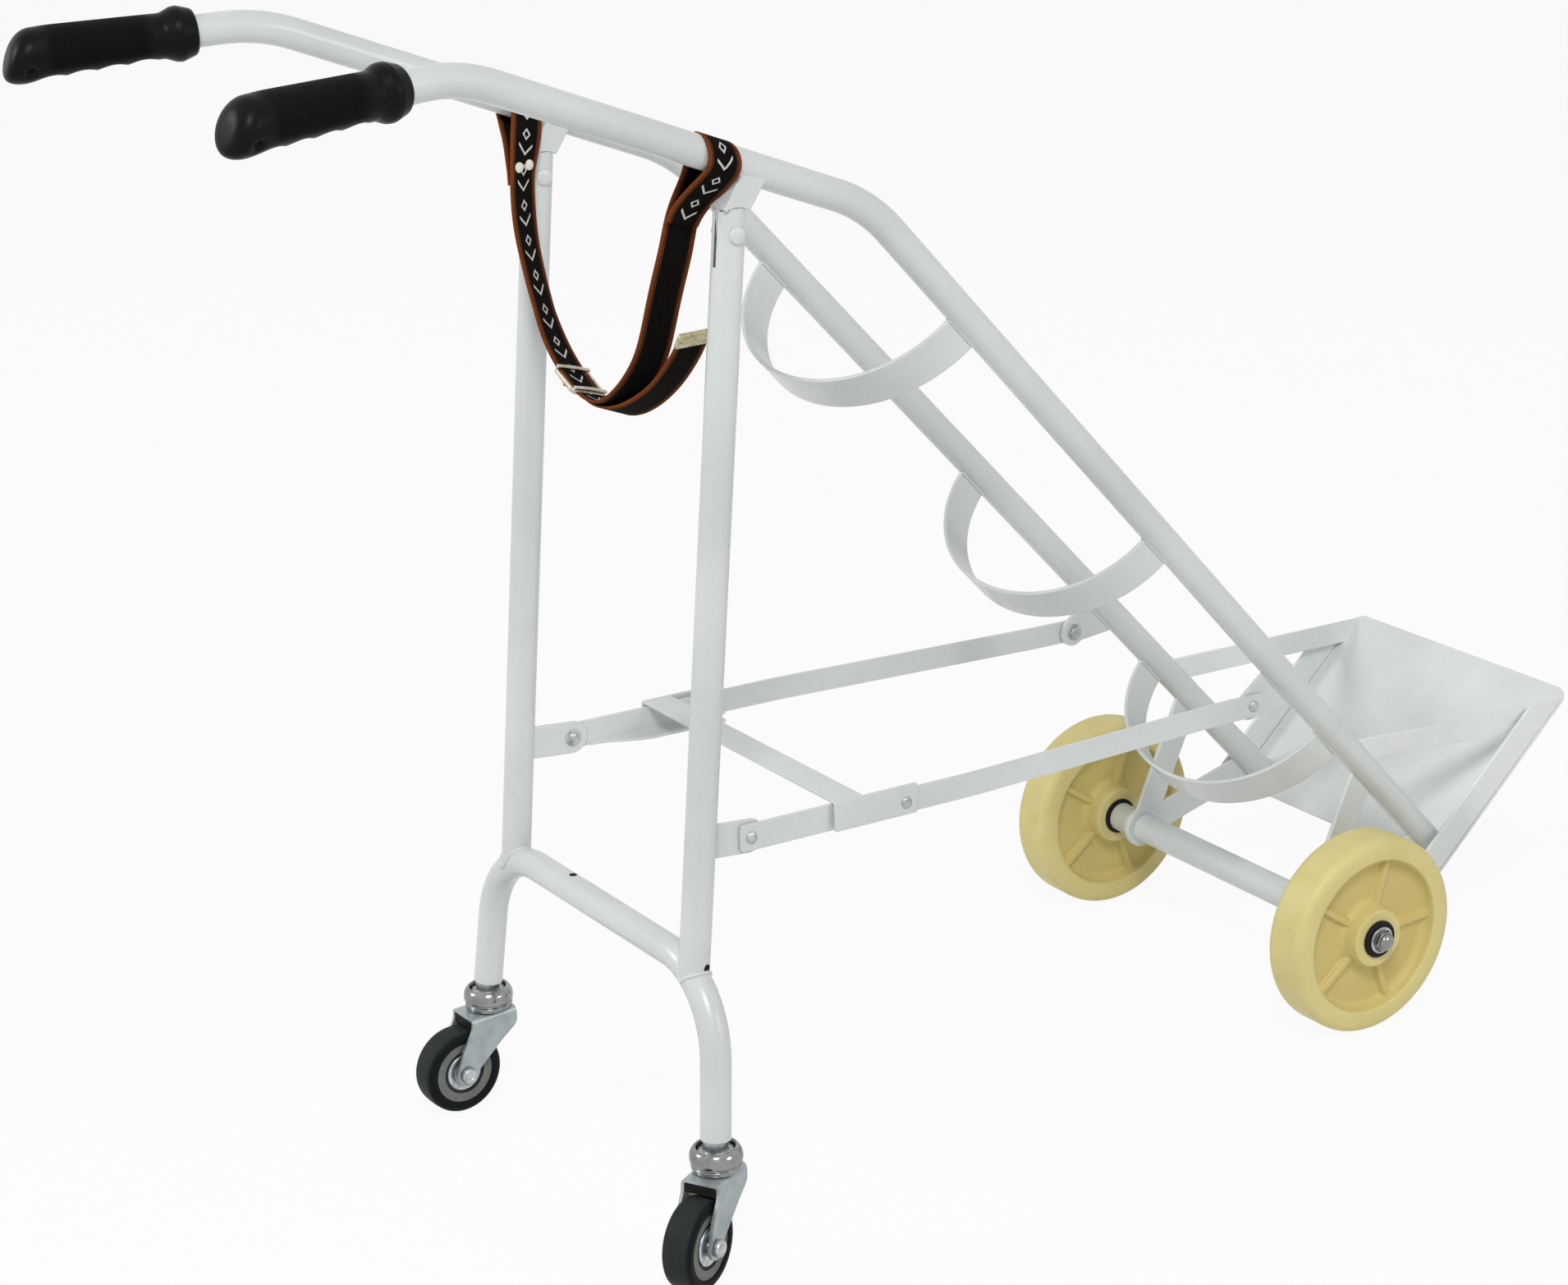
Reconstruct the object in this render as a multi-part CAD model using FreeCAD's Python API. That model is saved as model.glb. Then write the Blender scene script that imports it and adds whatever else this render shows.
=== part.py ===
import FreeCAD, Part
import math
import os

os.makedirs("parts", exist_ok=True)
Vec = FreeCAD.Vector

# Folding cylinder cart, millimetres. +X points from the grips to the tray, +Z up, floor at Z = 0.
# The origin is on the floor at mid-length. Sides are called far (+Y) and near (-Y).

# Side rails: stations in the side view and half spacings between the two rails
rail_od = 22.0
rail_wall = 1.5
rail_bend_radius = 120.0
foot_x, foot_z, foot_half = 443.5, 96.0, 106.0
bend_x, bend_z, bend_half = -95.0, 719.0, 122.0
knee_x, knee_z, knee_half = -403.5, 853.0, 142.0
handle_run = 152.0
handle_splay = 9.9
handle_drop = 1.0

# Hand grips: radii from the collar to the domed end
grip_start = 44.0
grip_length = 128.0
grip_lip_radius = 14.5
grip_lip_length = 3.0
grip_collar_radius = 17.0
grip_collar_length = 15.0
grip_neck_radius = 15.4
grip_neck_length = 8.0
grip_end_radius = 18.0
grip_dome_length = 15.0
grip_shoulder_radius = 14.5
grip_shoulder_length = 9.0
grip_tip_radius = 8.0
grip_bore_clearance = 0.1
finger_grooves = 4
finger_radius = 20.0
finger_depth = 2.6
finger_margin = 14.0

# Legs and the inverted-U bridge between them
leg_od = 22.0
leg_wall = 1.5
leg_half = 127.0
leg_pivot_x = -208.2
leg_pivot_hang = 48.35
leg_lean = 7.0
leg_top = 14.0
bridge_od = 22.0
bridge_wall = 1.5
bridge_bend_radius = 65.0
bridge_drop = 122.0
bridge_splay = 10.0
caster_half = 165.0

# Leg brackets under the rails, their tongues in the slotted leg ends, and their pins
bracket_from_bend = 94.0
bracket_length = 20.0
bracket_half = 11.0
bracket_gap = 0.5
tongue_thick = 8.0
tongue_half = 8.0
slot_behind = 22.0
slot_ahead = 6.0
pin_radius = 4.0
pin_head_radius = 6.0
pin_head_height = 2.6
running_clearance = 0.05

# Folding stays: leg tabs, angles, flat bars and the lock bar
stay_thick = 2.5
stay_gap = 0.5
stay_inside_leg = 6.0
stay_pivot_drop = 423.5
stay_pivot_reach = 42.5
leg_tab_height = 25.0
short_stay = 127.3
short_height = 20.0
short_eye_radius = 11.0
short_flange = 17.0
flange_start = 30.0
flange_end_margin = 10.0
short_end = 10.0
long_height = 18.0
long_eye_radius = 10.5
long_end_flat = 32.0
long_joint_flat = 60.0
long_joint_end = 9.0
lock_plate_back = 61.0
lock_plate_front = 10.0
lock_plate_drop = 9.5
lock_strip_width = 25.0
lock_strip_gap = 0.8
rivet_radius = 3.0
rivet_head_radius = 5.5
rivet_head_height = 2.0
washer_radius = 7.5
washer_thick = 1.2

# Tabs under the rails for the long stays, in rail coordinates
tab_thick = 3.0
tab_pivot_height = 261.5
tab_pivot_depth = 35.2
tab_eye_radius = 12.0
tab_low = 222.0
tab_high = 271.0
tab_inset = 1.0

# Cradle bands
cradle_names = ("low", "middle", "top")
cradle_first = 170.7
cradle_pitch = 263.0
cradle_width = 30.0
cradle_thick = 3.0
cradle_depth = 90.0

# Tray at the rail feet
tray_front = 168.0
tray_back = 17.0
tray_half = 126.5
tray_thick = 2.5
tray_corner = 12.0
rim_height = 25.0
rim_thick = 3.0
rim_front = 160.0
brace_thick = 3.0
brace_width = 20.0
brace_far_height = 140.0
brace_far_front = 164.0
brace_near_height = 131.0
brace_near_front = 154.0

# Axle group
wheel_radius = 80.0
axle_x = 313.0
axle_radius = 6.0
axle_fit = 0.1
axle_tube_od = 24.0
bracket_bar_width = 24.0
bracket_bar_thick = 4.0
hanger_height = 120.0
strut_height = 15.0
axle_eye_wall = 5.0
side_play = 0.3

# Nylon wheels
wheel_half = 161.0
wheel_width = 38.0
rim_ring = 18.0
tread_round = 6.0
web_thick = 12.0
hub_radius = 23.0
hub_width = 44.0
rib_count = 5
rib_thick = 4.0
rib_recess = 4.0
bush_radius = 10.0
bush_flange_radius = 15.0
bush_flange_thick = 2.5
bush_length = 16.0
axle_washer_radius = 12.0
axle_washer_thick = 1.5
axle_nut_radius = 9.0

# Swivel casters, trailing away from their own stems
caster_radius = 33.0
caster_width = 23.0
caster_trail = 32.0
caster_near_heading = 28.0
caster_far_heading = 2.0
caster_round = 4.0
tyre_depth = 9.0
hub_recess = 1.0
cap_radius = 14.5
cap_groove = 2.5
cap_thick = 2.0
fork_thick = 2.5
fork_gap = 1.5
fork_top = 76.5
fork_front = 15.0
fork_back = 24.0
fork_shoulder = 10.0
fork_eye_radius = 9.0
caster_bolt_radius = 4.0
caster_bolt_head_radius = 6.5
caster_bolt_head = 4.0
cup_radius = 19.0
cup_height = 17.0
cup_band = 8.0
cup_mouth_radius = 13.5
cup_mouth_depth = 5.0
cup_lip = 1.5
cup_gap = 0.5
kingpin_radius = 4.0
kingpin_head_radius = 7.0
kingpin_head = 3.0
kingpin_play = 0.3
plug_length = 30.0
plug_clearance = 0.05
seat_gap = 0.3

# Hanging strap: (Y, Z) stations of the band and its loose tail, from the level of the rails
strap_width = 25.0
strap_thick = 2.0
strap_from_bend = 134.0
strap_ease = 1.5
strap_rest = 0.3
strap_bend_radius = 22.0
strap_far_route = [(127, -8), (107, -36), (107, -92), (95, -140), (62, -176)]
strap_near_route = [(22, -196), (-20, -182), (-62, -134), (-97, -70), (-106, -36), (-127, -8)]
tail_route = [(-20, -194), (-58, -168), (-88, -124)]
tail_gap = 0.3
buckle_offset = 5.5
buckle_length = 28.0
buckle_wall = 2.0
buckle_clearance = 0.4
tip_length = 12.0
tip_thick = 3.0
strap_rivet_radius = 4.0
strap_rivet_height = 2.0
strap_rivet_spacing = 11.0
strap_rivet_level = -58.0


# Shared helpers
def save(name, shape):
    shape.exportStep(f"parts/{name}.step")


def mirrored(shape):
    return shape.mirror(Vec(0, 0, 0), Vec(0, 1, 0))


def save_pair(name, far_shape):
    """Saves a far-side piece and its near-side mirror image."""
    save(f"{name}_far", far_shape)
    save(f"{name}_near", mirrored(far_shape))


def save_both(name, far_shape):
    """Saves a far-side piece and its mirror image as one node of two solids."""
    save(name, Part.makeCompound([far_shape, mirrored(far_shape)]))


def frame_at(origin, x_axis, z_axis):
    """Placement with the given local X and Z directions."""
    y_axis = z_axis.cross(x_axis)
    return FreeCAD.Placement(FreeCAD.Matrix(
        x_axis.x, y_axis.x, z_axis.x, origin.x,
        x_axis.y, y_axis.y, z_axis.y, origin.y,
        x_axis.z, y_axis.z, z_axis.z, origin.z,
        0, 0, 0, 1))


def placed(shape, placement):
    moved = shape.copy()
    moved.Placement = placement.multiply(moved.Placement)
    return moved


def bent_wire(points, radius):
    """Straight runs through the points, joined by tangent arcs of one radius."""
    edges = []
    start = points[0]
    for before, corner, after in zip(points, points[1:], points[2:]):
        entry = (corner - before).normalize()
        leave = (after - corner).normalize()
        half_turn = entry.getAngle(leave) / 2
        setback = radius * math.tan(half_turn)
        arc_start = corner - entry * setback
        arc_end = corner + leave * setback
        centre = corner + (leave - entry).normalize() * (radius / math.cos(half_turn))
        middle = centre + (corner - centre).normalize() * radius
        edges.append(Part.makeLine(start, arc_start))
        edges.append(Part.Arc(arc_start, middle, arc_end).toShape())
        start = arc_end
    edges.append(Part.makeLine(start, points[-1]))
    return Part.Wire(edges)


def bar_along(points, bend_radius, radius):
    """Solid round bar along a bent path."""
    circle = Part.Wire(Part.makeCircle(radius, points[0], points[1] - points[0]))
    return bent_wire(points, bend_radius).makePipeShell([circle], True, False)


def prism(points, direction):
    """Closed polygon extruded along a direction."""
    return Part.Face(Part.makePolygon(points + points[:1])).extrude(direction)


def turned(profile):
    """Closed polygon of (radius, height) pairs revolved about local Z."""
    points = [Vec(radius, 0, height) for radius, height in profile]
    return Part.Face(Part.makePolygon(points + points[:1])).revolve(Vec(0, 0, 0), Vec(0, 0, 1), 360)


def cylinder_y(x, z, radius, y_low, y_high):
    return Part.makeCylinder(radius, y_high - y_low, Vec(x, y_low, z), Vec(0, 1, 0))


def cylinder_z(radius, z_low, z_high):
    return Part.makeCylinder(radius, z_high - z_low, Vec(0, 0, z_low))


def dome_y(x, z, radius, y_base, height):
    """Spherical head on the face at y_base, rising towards the sign of height."""
    base = Vec(x, y_base, z)
    edge = base + Vec(radius, 0, 0)
    apex = base + Vec(0, height, 0)
    ball_radius = (radius ** 2 + height ** 2) / (2 * height)
    centre = apex - Vec(0, ball_radius, 0)
    halfway = (edge - centre).normalize() + (apex - centre).normalize()
    middle = centre + halfway.normalize() * abs(ball_radius)
    arc = Part.Arc(edge, middle, apex).toShape()
    outline = Part.Wire([Part.makeLine(base, edge), arc, Part.makeLine(apex, base)])
    return Part.Face(outline).revolve(base, Vec(0, 1, 0), 360)


def flat_link(length, height, y_low, thick, start_radius, end_radius):
    """Flat bar along local X with round ends where a radius is given."""
    bar = Part.makeBox(length, thick, height, Vec(0, y_low, -height / 2))
    for x, radius in ((0, start_radius), (length, end_radius)):
        if radius:
            bar = bar.fuse(cylinder_y(x, 0, radius, y_low, y_low + thick))
    return bar.removeSplitter()


# Rail coordinates: local X square to the inclined rail towards the load, local Z up along it from its foot
rail_run = Vec(bend_x - foot_x, 0, bend_z - foot_z)
rail_length = rail_run.Length
rail_up = rail_run / rail_length
rail_out = Vec(rail_up.z, 0, -rail_up.x)
rail_frame = frame_at(Vec(foot_x, 0, foot_z), rail_out, rail_up)


def rail_half_at(height):
    """Half spacing of the rails at a height along them above the tray."""
    return foot_half + (bend_half - foot_half) * height / rail_length


# Side rails, cut square on the tray
splay_angle = math.radians(handle_splay)
drop_angle = math.radians(handle_drop)
handle_dir = Vec(-math.cos(splay_angle), math.sin(splay_angle), -math.sin(drop_angle)).normalize()
knee = Vec(knee_x, knee_half, knee_z)
bend = Vec(bend_x, bend_half, bend_z)
foot = Vec(foot_x, foot_half, foot_z)
rail_points = [knee + handle_dir * handle_run, knee, bend, foot + (foot - bend).normalize() * rail_od]
below_tray = placed(Part.makeBox(4 * tray_half, 4 * tray_half, 4 * rail_od,
                                 Vec(-2 * tray_half, -2 * tray_half, -4 * rail_od)), rail_frame)
rail_solid = bar_along(rail_points, rail_bend_radius, rail_od / 2).cut(below_tray)
rail_bore = bar_along(rail_points, rail_bend_radius, rail_od / 2 - rail_wall)
save_pair("side_rail", rail_solid.cut(rail_bore))

# Hand grips: collar, body that swells to a domed end, finger grooves along the underside
grip_frame = frame_at(knee + handle_dir * grip_start, Vec(0, 0, 1).cross(handle_dir).normalize(), handle_dir)
dome_start = grip_length - grip_dome_length
neck_start = grip_collar_length + grip_neck_length
grip = turned([(0, 0), (grip_lip_radius, 0), (grip_collar_radius, grip_lip_length),
               (grip_collar_radius, grip_collar_length), (grip_neck_radius, neck_start),
               (grip_end_radius, dome_start), (grip_shoulder_radius, dome_start + grip_shoulder_length),
               (grip_tip_radius, grip_length), (0, grip_length)])
groove_span = dome_start - neck_start - 2 * finger_margin
for index in range(finger_grooves):
    along = finger_margin + groove_span * index / (finger_grooves - 1)
    surface = grip_neck_radius + (grip_end_radius - grip_neck_radius) * along / (dome_start - neck_start)
    reach = surface - finger_depth + finger_radius
    grip = grip.cut(Part.makeCylinder(finger_radius, 4 * grip_end_radius,
                                      Vec(-2 * grip_end_radius, -reach, neck_start + along), Vec(1, 0, 0)))
tube_in_grip = handle_run - grip_start
grip = grip.cut(cylinder_z(rail_od / 2 + grip_bore_clearance, 0, tube_in_grip + grip_bore_clearance))
save_pair("hand_grip", placed(grip, grip_frame))

# Leg coordinates: origin on the leg pivot, local Z up along the leaning leg
lean = math.radians(leg_lean)
leg_up = Vec(math.sin(lean), 0, math.cos(lean))
leg_ahead = Vec(math.cos(lean), 0, -math.sin(lean))
cup_low = fork_top + cup_gap
cup_high = cup_low + cup_height
cup_floor = cup_high - cup_mouth_depth
splay = math.atan(bridge_splay / bridge_drop)
end_tilt = bridge_od / 2 * (math.sin(lean) + math.sin(splay))
upper_slope = (knee_z - bend_z) / (knee_x - bend_x)
leg_pivot_z = bend_z + upper_slope * (leg_pivot_x - bend_x) - leg_pivot_hang
tube_end = (leg_pivot_z - cup_floor - seat_gap - end_tilt) / math.cos(lean)
leg_length = tube_end - bridge_drop
leg_pivot = Vec(leg_pivot_x, 0, leg_pivot_z)
leg_frame = frame_at(leg_pivot, leg_ahead, leg_up)

# Bridge: crossbar with both ends bent down and slightly outwards to the casters
corner_half = caster_half - bridge_splay
bridge_points = [Vec(0, -caster_half, -tube_end), Vec(0, -corner_half, -leg_length),
                 Vec(0, corner_half, -leg_length), Vec(0, caster_half, -tube_end)]
bridge_solid = bar_along(bridge_points, bridge_bend_radius, bridge_od / 2)
bridge_bore = bar_along(bridge_points, bridge_bend_radius, bridge_od / 2 - bridge_wall)
save("bridge", placed(bridge_solid.cut(bridge_bore), leg_frame))

# Legs, bored for their pins and saddled on the bridge where it starts to bend
bend_start = corner_half - bridge_bend_radius * math.tan((math.pi / 2 - splay) / 2)
seat_angle = math.asin(max(0, leg_half - bend_start) / bridge_bend_radius)
seat_drop = leg_length + bridge_bend_radius * (1 - math.cos(seat_angle))
leg_start = Vec(0, leg_half, -seat_drop - leg_od)
leg_solid = Part.makeCylinder(leg_od / 2, leg_top - leg_start.z, leg_start)
leg_bore = Part.makeCylinder(leg_od / 2 - leg_wall, leg_top - leg_start.z, leg_start)
below_seat = Part.makeBox(4 * leg_od, 4 * leg_od, 4 * leg_od, Vec(-2 * leg_od, -2 * leg_od, -4 * leg_od))
below_seat.rotate(Vec(0, 0, 0), Vec(1, 0, 0), -math.degrees(seat_angle))
below_seat.translate(Vec(0, leg_half, -seat_drop))
leg_solid = leg_solid.cut(below_seat)
pin_hole = cylinder_y(0, 0, pin_radius + running_clearance, leg_half - leg_od, leg_half + leg_od)
leg_solid = leg_solid.cut(leg_bore).cut(bridge_solid).cut(pin_hole)
slot_half = tongue_thick / 2 + bracket_gap
for slot_x, slot_drop in ((-leg_od, slot_behind), (0, slot_ahead)):
    leg_solid = leg_solid.cut(Part.makeBox(leg_od, 2 * slot_half, slot_drop + leg_od,
                                           Vec(slot_x, leg_half - slot_half, -slot_drop)))
save_pair("leg", placed(leg_solid, leg_frame))

# Leg brackets: tapered blocks under the rails, hollowed over the swinging leg ends, with a tongue in each leg
upper_run = Vec(knee_x - bend_x, 0, knee_z - bend_z).normalize()
bracket_base = Vec(bend_x, leg_half - bracket_half, bend_z) + upper_run * bracket_from_bend
bracket_foot = leg_pivot + Vec(0, leg_half - bracket_half, leg_top)
bracket = prism([bracket_base, bracket_base + upper_run * bracket_length,
                 bracket_foot - Vec(bracket_half, 0, 0), bracket_foot + Vec(bracket_half, 0, 0)],
                Vec(0, 2 * bracket_half, 0))
swing = math.hypot(leg_od / 2, leg_top) + bracket_gap
bracket = bracket.cut(cylinder_y(leg_pivot_x, leg_pivot_z, swing, 0, 2 * leg_half))
tongue_low, tongue_high = leg_half - tongue_thick / 2, leg_half + tongue_thick / 2
tongue = cylinder_y(leg_pivot_x, leg_pivot_z, tongue_half, tongue_low, tongue_high)
tongue = tongue.fuse(Part.makeBox(2 * tongue_half, tongue_thick, swing + bracket_gap,
                                  Vec(leg_pivot_x - tongue_half, tongue_low, leg_pivot_z)))
pin_low, pin_high = leg_half - leg_od / 2 - running_clearance, leg_half + leg_od / 2 + running_clearance
pin = cylinder_y(leg_pivot_x, leg_pivot_z, pin_radius, pin_low, pin_high)
save_pair("leg_bracket", bracket.fuse(tongue).removeSplitter().cut(rail_solid).cut(pin))

# Leg pins with a domed head outside both walls of the leg
pin = pin.fuse(dome_y(leg_pivot_x, leg_pivot_z, pin_head_radius, pin_high, pin_head_height))
pin = pin.fuse(dome_y(leg_pivot_x, leg_pivot_z, pin_head_radius, pin_low, -pin_head_height))
save_both("leg_pins", pin)

# Stay coordinates: origin on the leg tab's pivot, local X towards the rail tab's pivot
leg_tab_pivot = leg_frame.multVec(Vec(stay_pivot_reach, 0, -stay_pivot_drop))
rail_tab_pivot = rail_frame.multVec(Vec(-tab_pivot_depth, 0, tab_pivot_height))
stay_run = rail_tab_pivot - leg_tab_pivot
stay_length = stay_run.Length
stay_dir = stay_run / stay_length
stay_frame = frame_at(leg_tab_pivot, stay_dir, Vec(-stay_dir.z, 0, stay_dir.x))

# Layers across the stays, from the leg tab outwards
leg_tab_y = leg_half - stay_inside_leg
short_y = leg_tab_y + stay_thick + stay_gap
long_y = short_y + stay_thick + stay_gap
plate_y = long_y + stay_thick
rail_tab_y = rail_half_at(tab_pivot_height) - tab_inset - tab_thick / 2
long_rail_y = rail_tab_y + tab_thick + stay_gap

# Leg tabs welded on the legs
leg_tab = flat_link(stay_pivot_reach, leg_tab_height, leg_tab_y, stay_thick, 0, leg_tab_height / 2)
leg_tab = leg_tab.cut(cylinder_y(stay_pivot_reach, 0, rivet_radius, leg_tab_y, short_y))
leg_tab.translate(Vec(0, 0, -stay_pivot_drop))
leg_core = Part.makeCylinder(leg_od / 2, 2 * stay_pivot_drop, Vec(0, leg_half, -2 * stay_pivot_drop))
save_pair("leg_tab", placed(leg_tab.cut(leg_core), leg_frame))

# Short stays: web with an inward bottom flange, loose on its rivet
web = flat_link(short_stay + short_end, short_height, short_y, stay_thick, short_eye_radius, 0)
flange_length = short_stay + short_end - flange_start - flange_end_margin
flange = Part.makeBox(flange_length, short_flange, stay_thick,
                      Vec(flange_start, short_y - short_flange, -short_height / 2))
loose_hole = cylinder_y(0, 0, rivet_radius + running_clearance, short_y, long_y)
save_pair("short_stay", placed(web.fuse(flange).removeSplitter().cut(loose_hole), stay_frame))

# Rivets on the leg tabs
rivet_face = short_y + stay_thick + running_clearance
rivet = cylinder_y(0, 0, rivet_radius, leg_tab_y, rivet_face)
rivet = rivet.fuse(dome_y(0, 0, rivet_head_radius, rivet_face, rivet_head_height))
rivet = rivet.fuse(dome_y(0, 0, rivet_head_radius, leg_tab_y, -rivet_head_height))
save_both("stay_rivets", placed(rivet, stay_frame))

# Long stays: flat bars that step inwards from the lock to the rail tabs
joint_end = short_stay - long_joint_end
step_start = short_stay + long_joint_flat
step_end = stay_length - long_end_flat
bar_end = stay_length + long_eye_radius
inner_line = [Vec(joint_end, long_y, 0), Vec(step_start, long_y, 0), Vec(step_end, long_rail_y, 0),
              Vec(bar_end, long_rail_y, 0)]
outer_line = [point + Vec(0, stay_thick, 0) for point in reversed(inner_line)]
long_bar = prism(inner_line + outer_line, Vec(0, 0, 2 * long_eye_radius))
long_bar.translate(Vec(0, 0, -long_eye_radius))
long_bar = long_bar.common(flat_link(stay_length, long_height, 0, 2 * leg_half, 0, long_eye_radius))
bolt_hole = cylinder_y(stay_length, 0, rivet_radius + running_clearance, rail_tab_y, leg_half)
lock_hole = cylinder_y(short_stay, 0, rivet_radius, long_y, plate_y + stay_thick)
save_pair("long_stay", placed(long_bar.cut(bolt_hole).cut(lock_hole), stay_frame))

# Lock bar: end plates over the middle joints, joined above the short stays by a cross strip
strip_low = short_height / 2 + lock_strip_gap
strip_high = strip_low + stay_thick
plate_start = short_stay - lock_plate_back
plate_outer = plate_y + stay_thick
plate = Part.makeBox(lock_plate_back + lock_plate_front, stay_thick, strip_high + lock_plate_drop,
                     Vec(plate_start, plate_y, -lock_plate_drop)).cut(lock_hole)
strip = Part.makeBox(lock_strip_width, 2 * plate_outer, stay_thick, Vec(plate_start, -plate_outer, strip_low))
save("lock_bar", placed(strip.fuse(plate).fuse(mirrored(plate)).removeSplitter(), stay_frame))

# Lock pins, headed outside, that end in the long stays and leave the short stays free
lock_pin = cylinder_y(short_stay, 0, rivet_radius, long_y, plate_outer)
lock_pin = lock_pin.fuse(dome_y(short_stay, 0, rivet_head_radius, plate_outer, rivet_head_height))
save_both("lock_pins", placed(lock_pin, stay_frame))

# Rail tabs: plates from the rail's underside narrowing to an eye
rail_tab = prism([Vec(0, rail_tab_y, tab_low), Vec(0, rail_tab_y, tab_high),
                  Vec(-tab_pivot_depth, rail_tab_y, tab_pivot_height + tab_eye_radius),
                  Vec(-tab_pivot_depth, rail_tab_y, tab_pivot_height - tab_eye_radius)], Vec(0, tab_thick, 0))
tab_top = rail_tab_y + tab_thick
tab_eye = cylinder_y(-tab_pivot_depth, tab_pivot_height, tab_eye_radius, rail_tab_y, tab_top)
tab_hole = cylinder_y(-tab_pivot_depth, tab_pivot_height, rivet_radius, rail_tab_y, tab_top)
rail_tab = rail_tab.fuse(tab_eye).removeSplitter().cut(tab_hole)
save_pair("rail_tab", placed(rail_tab, rail_frame).cut(rail_solid))

# Stay bolts with a head outside and a washer and nut inside
bolt_face = long_rail_y + stay_thick + running_clearance
nut_face = rail_tab_y - washer_thick
bolt = cylinder_y(stay_length, 0, rivet_radius, nut_face, bolt_face)
bolt = bolt.fuse(dome_y(stay_length, 0, rivet_head_radius, bolt_face, rivet_head_height))
bolt = bolt.fuse(cylinder_y(stay_length, 0, washer_radius, nut_face, rail_tab_y))
bolt = bolt.fuse(cylinder_y(stay_length, 0, rivet_head_radius, nut_face - rivet_head_height, nut_face))
save_both("stay_bolts", placed(bolt, stay_frame))


# Cradles: half-elliptic bands welded between the backs of the rails
def elliptic_slab(half, depth, low):
    """Upright slab with an elliptic outline, half wide in Y and depth deep in X."""
    ellipse = Part.Ellipse(Vec(0, half, low), Vec(depth, 0, low), Vec(0, 0, low))
    return Part.Face(Part.Wire(ellipse.toShape())).extrude(Vec(0, 0, cradle_width))


for index, name in enumerate(cradle_names):
    middle = cradle_first + cradle_pitch * index
    low = middle - cradle_width / 2
    half = rail_half_at(middle)
    skin = cradle_thick / 2
    outside = elliptic_slab(half + skin, cradle_depth + skin, low)
    inside = elliptic_slab(half - skin, cradle_depth - skin, low)
    rear_half = Part.makeBox(2 * cradle_depth, 4 * half, cradle_width, Vec(-2 * cradle_depth, -2 * half, low))
    band = placed(outside.cut(inside).common(rear_half), rail_frame)
    save(f"cradle_{name}", band.cut(rail_solid).cut(mirrored(rail_solid)))


# Tray plate with rounded front corners, and a flat bar set on edge along each side
tray = Part.makeBox(tray_front + tray_back, 2 * tray_half, tray_thick,
                    Vec(-tray_back, -tray_half, -tray_thick))
front_corners = [edge for edge in tray.Edges
                 if abs(edge.CenterOfMass.x - tray_front) < running_clearance
                 and abs(abs(edge.CenterOfMass.y) - tray_half) < running_clearance]
save("tray_plate", placed(tray.makeFillet(tray_corner, front_corners), rail_frame))
rim_y = tray_half - rim_thick
rim_points = [Vec(-tray_back, rim_y, 0), Vec(rim_front, rim_y, 0), Vec(rim_front - rim_height, rim_y, rim_height),
              Vec(-tray_back, rim_y, rim_height)]
save_pair("tray_rim", placed(prism(rim_points, Vec(0, rim_thick, 0)), rail_frame))


# Tray braces: flat bars from the rails down to the tray, spreading outwards to the rims, welded at unlike heights
def tray_brace(height, front):
    """Far-side brace whose lower edge leaves the rail at a height and whose upper edge meets the tray at a reach."""
    rail_y = rail_half_at(height)
    spread = rim_y - brace_thick - rail_y
    rise = brace_width * math.hypot(height, front) / front
    back = front * height / (height + rise)
    corners = [(0, height), (0, height + rise), (front, 0), (back, 0)]
    outline = [Vec(reach, rail_y + spread * reach / front, level) for reach, level in corners]
    across = Vec(-spread, front, 0).normalize()
    return placed(prism(outline, across * brace_thick), rail_frame).cut(rail_solid)


save("tray_brace_far", tray_brace(brace_far_height, brace_far_front))
save("tray_brace_near", mirrored(tray_brace(brace_near_height, brace_near_front)))

# Axle brackets: a bar from each rail and a bar from each rail foot, meeting round the axle tube
bar_y = rail_half_at(hanger_height) - bracket_bar_thick / 2
axle_spot = rail_frame.inverse().multVec(Vec(axle_x, 0, wheel_radius)) + Vec(0, bar_y, 0)
eye_radius = axle_tube_od / 2 + axle_eye_wall
axle_bracket = cylinder_y(axle_spot.x, axle_spot.z, eye_radius, bar_y, bar_y + bracket_bar_thick)
for height in (hanger_height, strut_height):
    bar_top = Vec(0, bar_y, height)
    across = Vec(height - axle_spot.z, 0, axle_spot.x).normalize() * (bracket_bar_width / 2)
    bar = prism([axle_spot - across, bar_top - across, bar_top + across, axle_spot + across],
                Vec(0, bracket_bar_thick, 0))
    axle_bracket = axle_bracket.fuse(bar)
tube_space = cylinder_y(axle_x, wheel_radius, axle_tube_od / 2, 0, wheel_half)
axle_bracket = placed(axle_bracket.removeSplitter(), rail_frame).cut(tube_space)
save_pair("axle_bracket", axle_bracket.cut(rail_solid).cut(below_tray))

# Axle tube, axle, outer washers and domed nuts
tube_half = wheel_half - hub_width / 2 - bush_flange_thick - side_play
washer_low = wheel_half + hub_width / 2 + bush_flange_thick + side_play
washer_high = washer_low + axle_washer_thick
axle_tube = cylinder_y(axle_x, wheel_radius, axle_tube_od / 2, -tube_half, tube_half)
tube_bore = cylinder_y(axle_x, wheel_radius, axle_radius + axle_fit, -tube_half, tube_half)
save("axle_tube", axle_tube.cut(tube_bore))
axle = cylinder_y(axle_x, wheel_radius, axle_radius, -washer_high, washer_high)
save("axle", axle)
washer = cylinder_y(axle_x, wheel_radius, axle_washer_radius, washer_low, washer_high)
save_both("axle_washers", washer.cut(axle))
save_both("axle_nuts", dome_y(axle_x, wheel_radius, axle_nut_radius, washer_high, axle_nut_radius))

# Nylon wheels: crowned rim, thin web with ribs, long hub
half_rim = wheel_width / 2
half_hub = hub_width / 2
half_web = web_thick / 2
well_radius = wheel_radius - rim_ring


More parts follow.
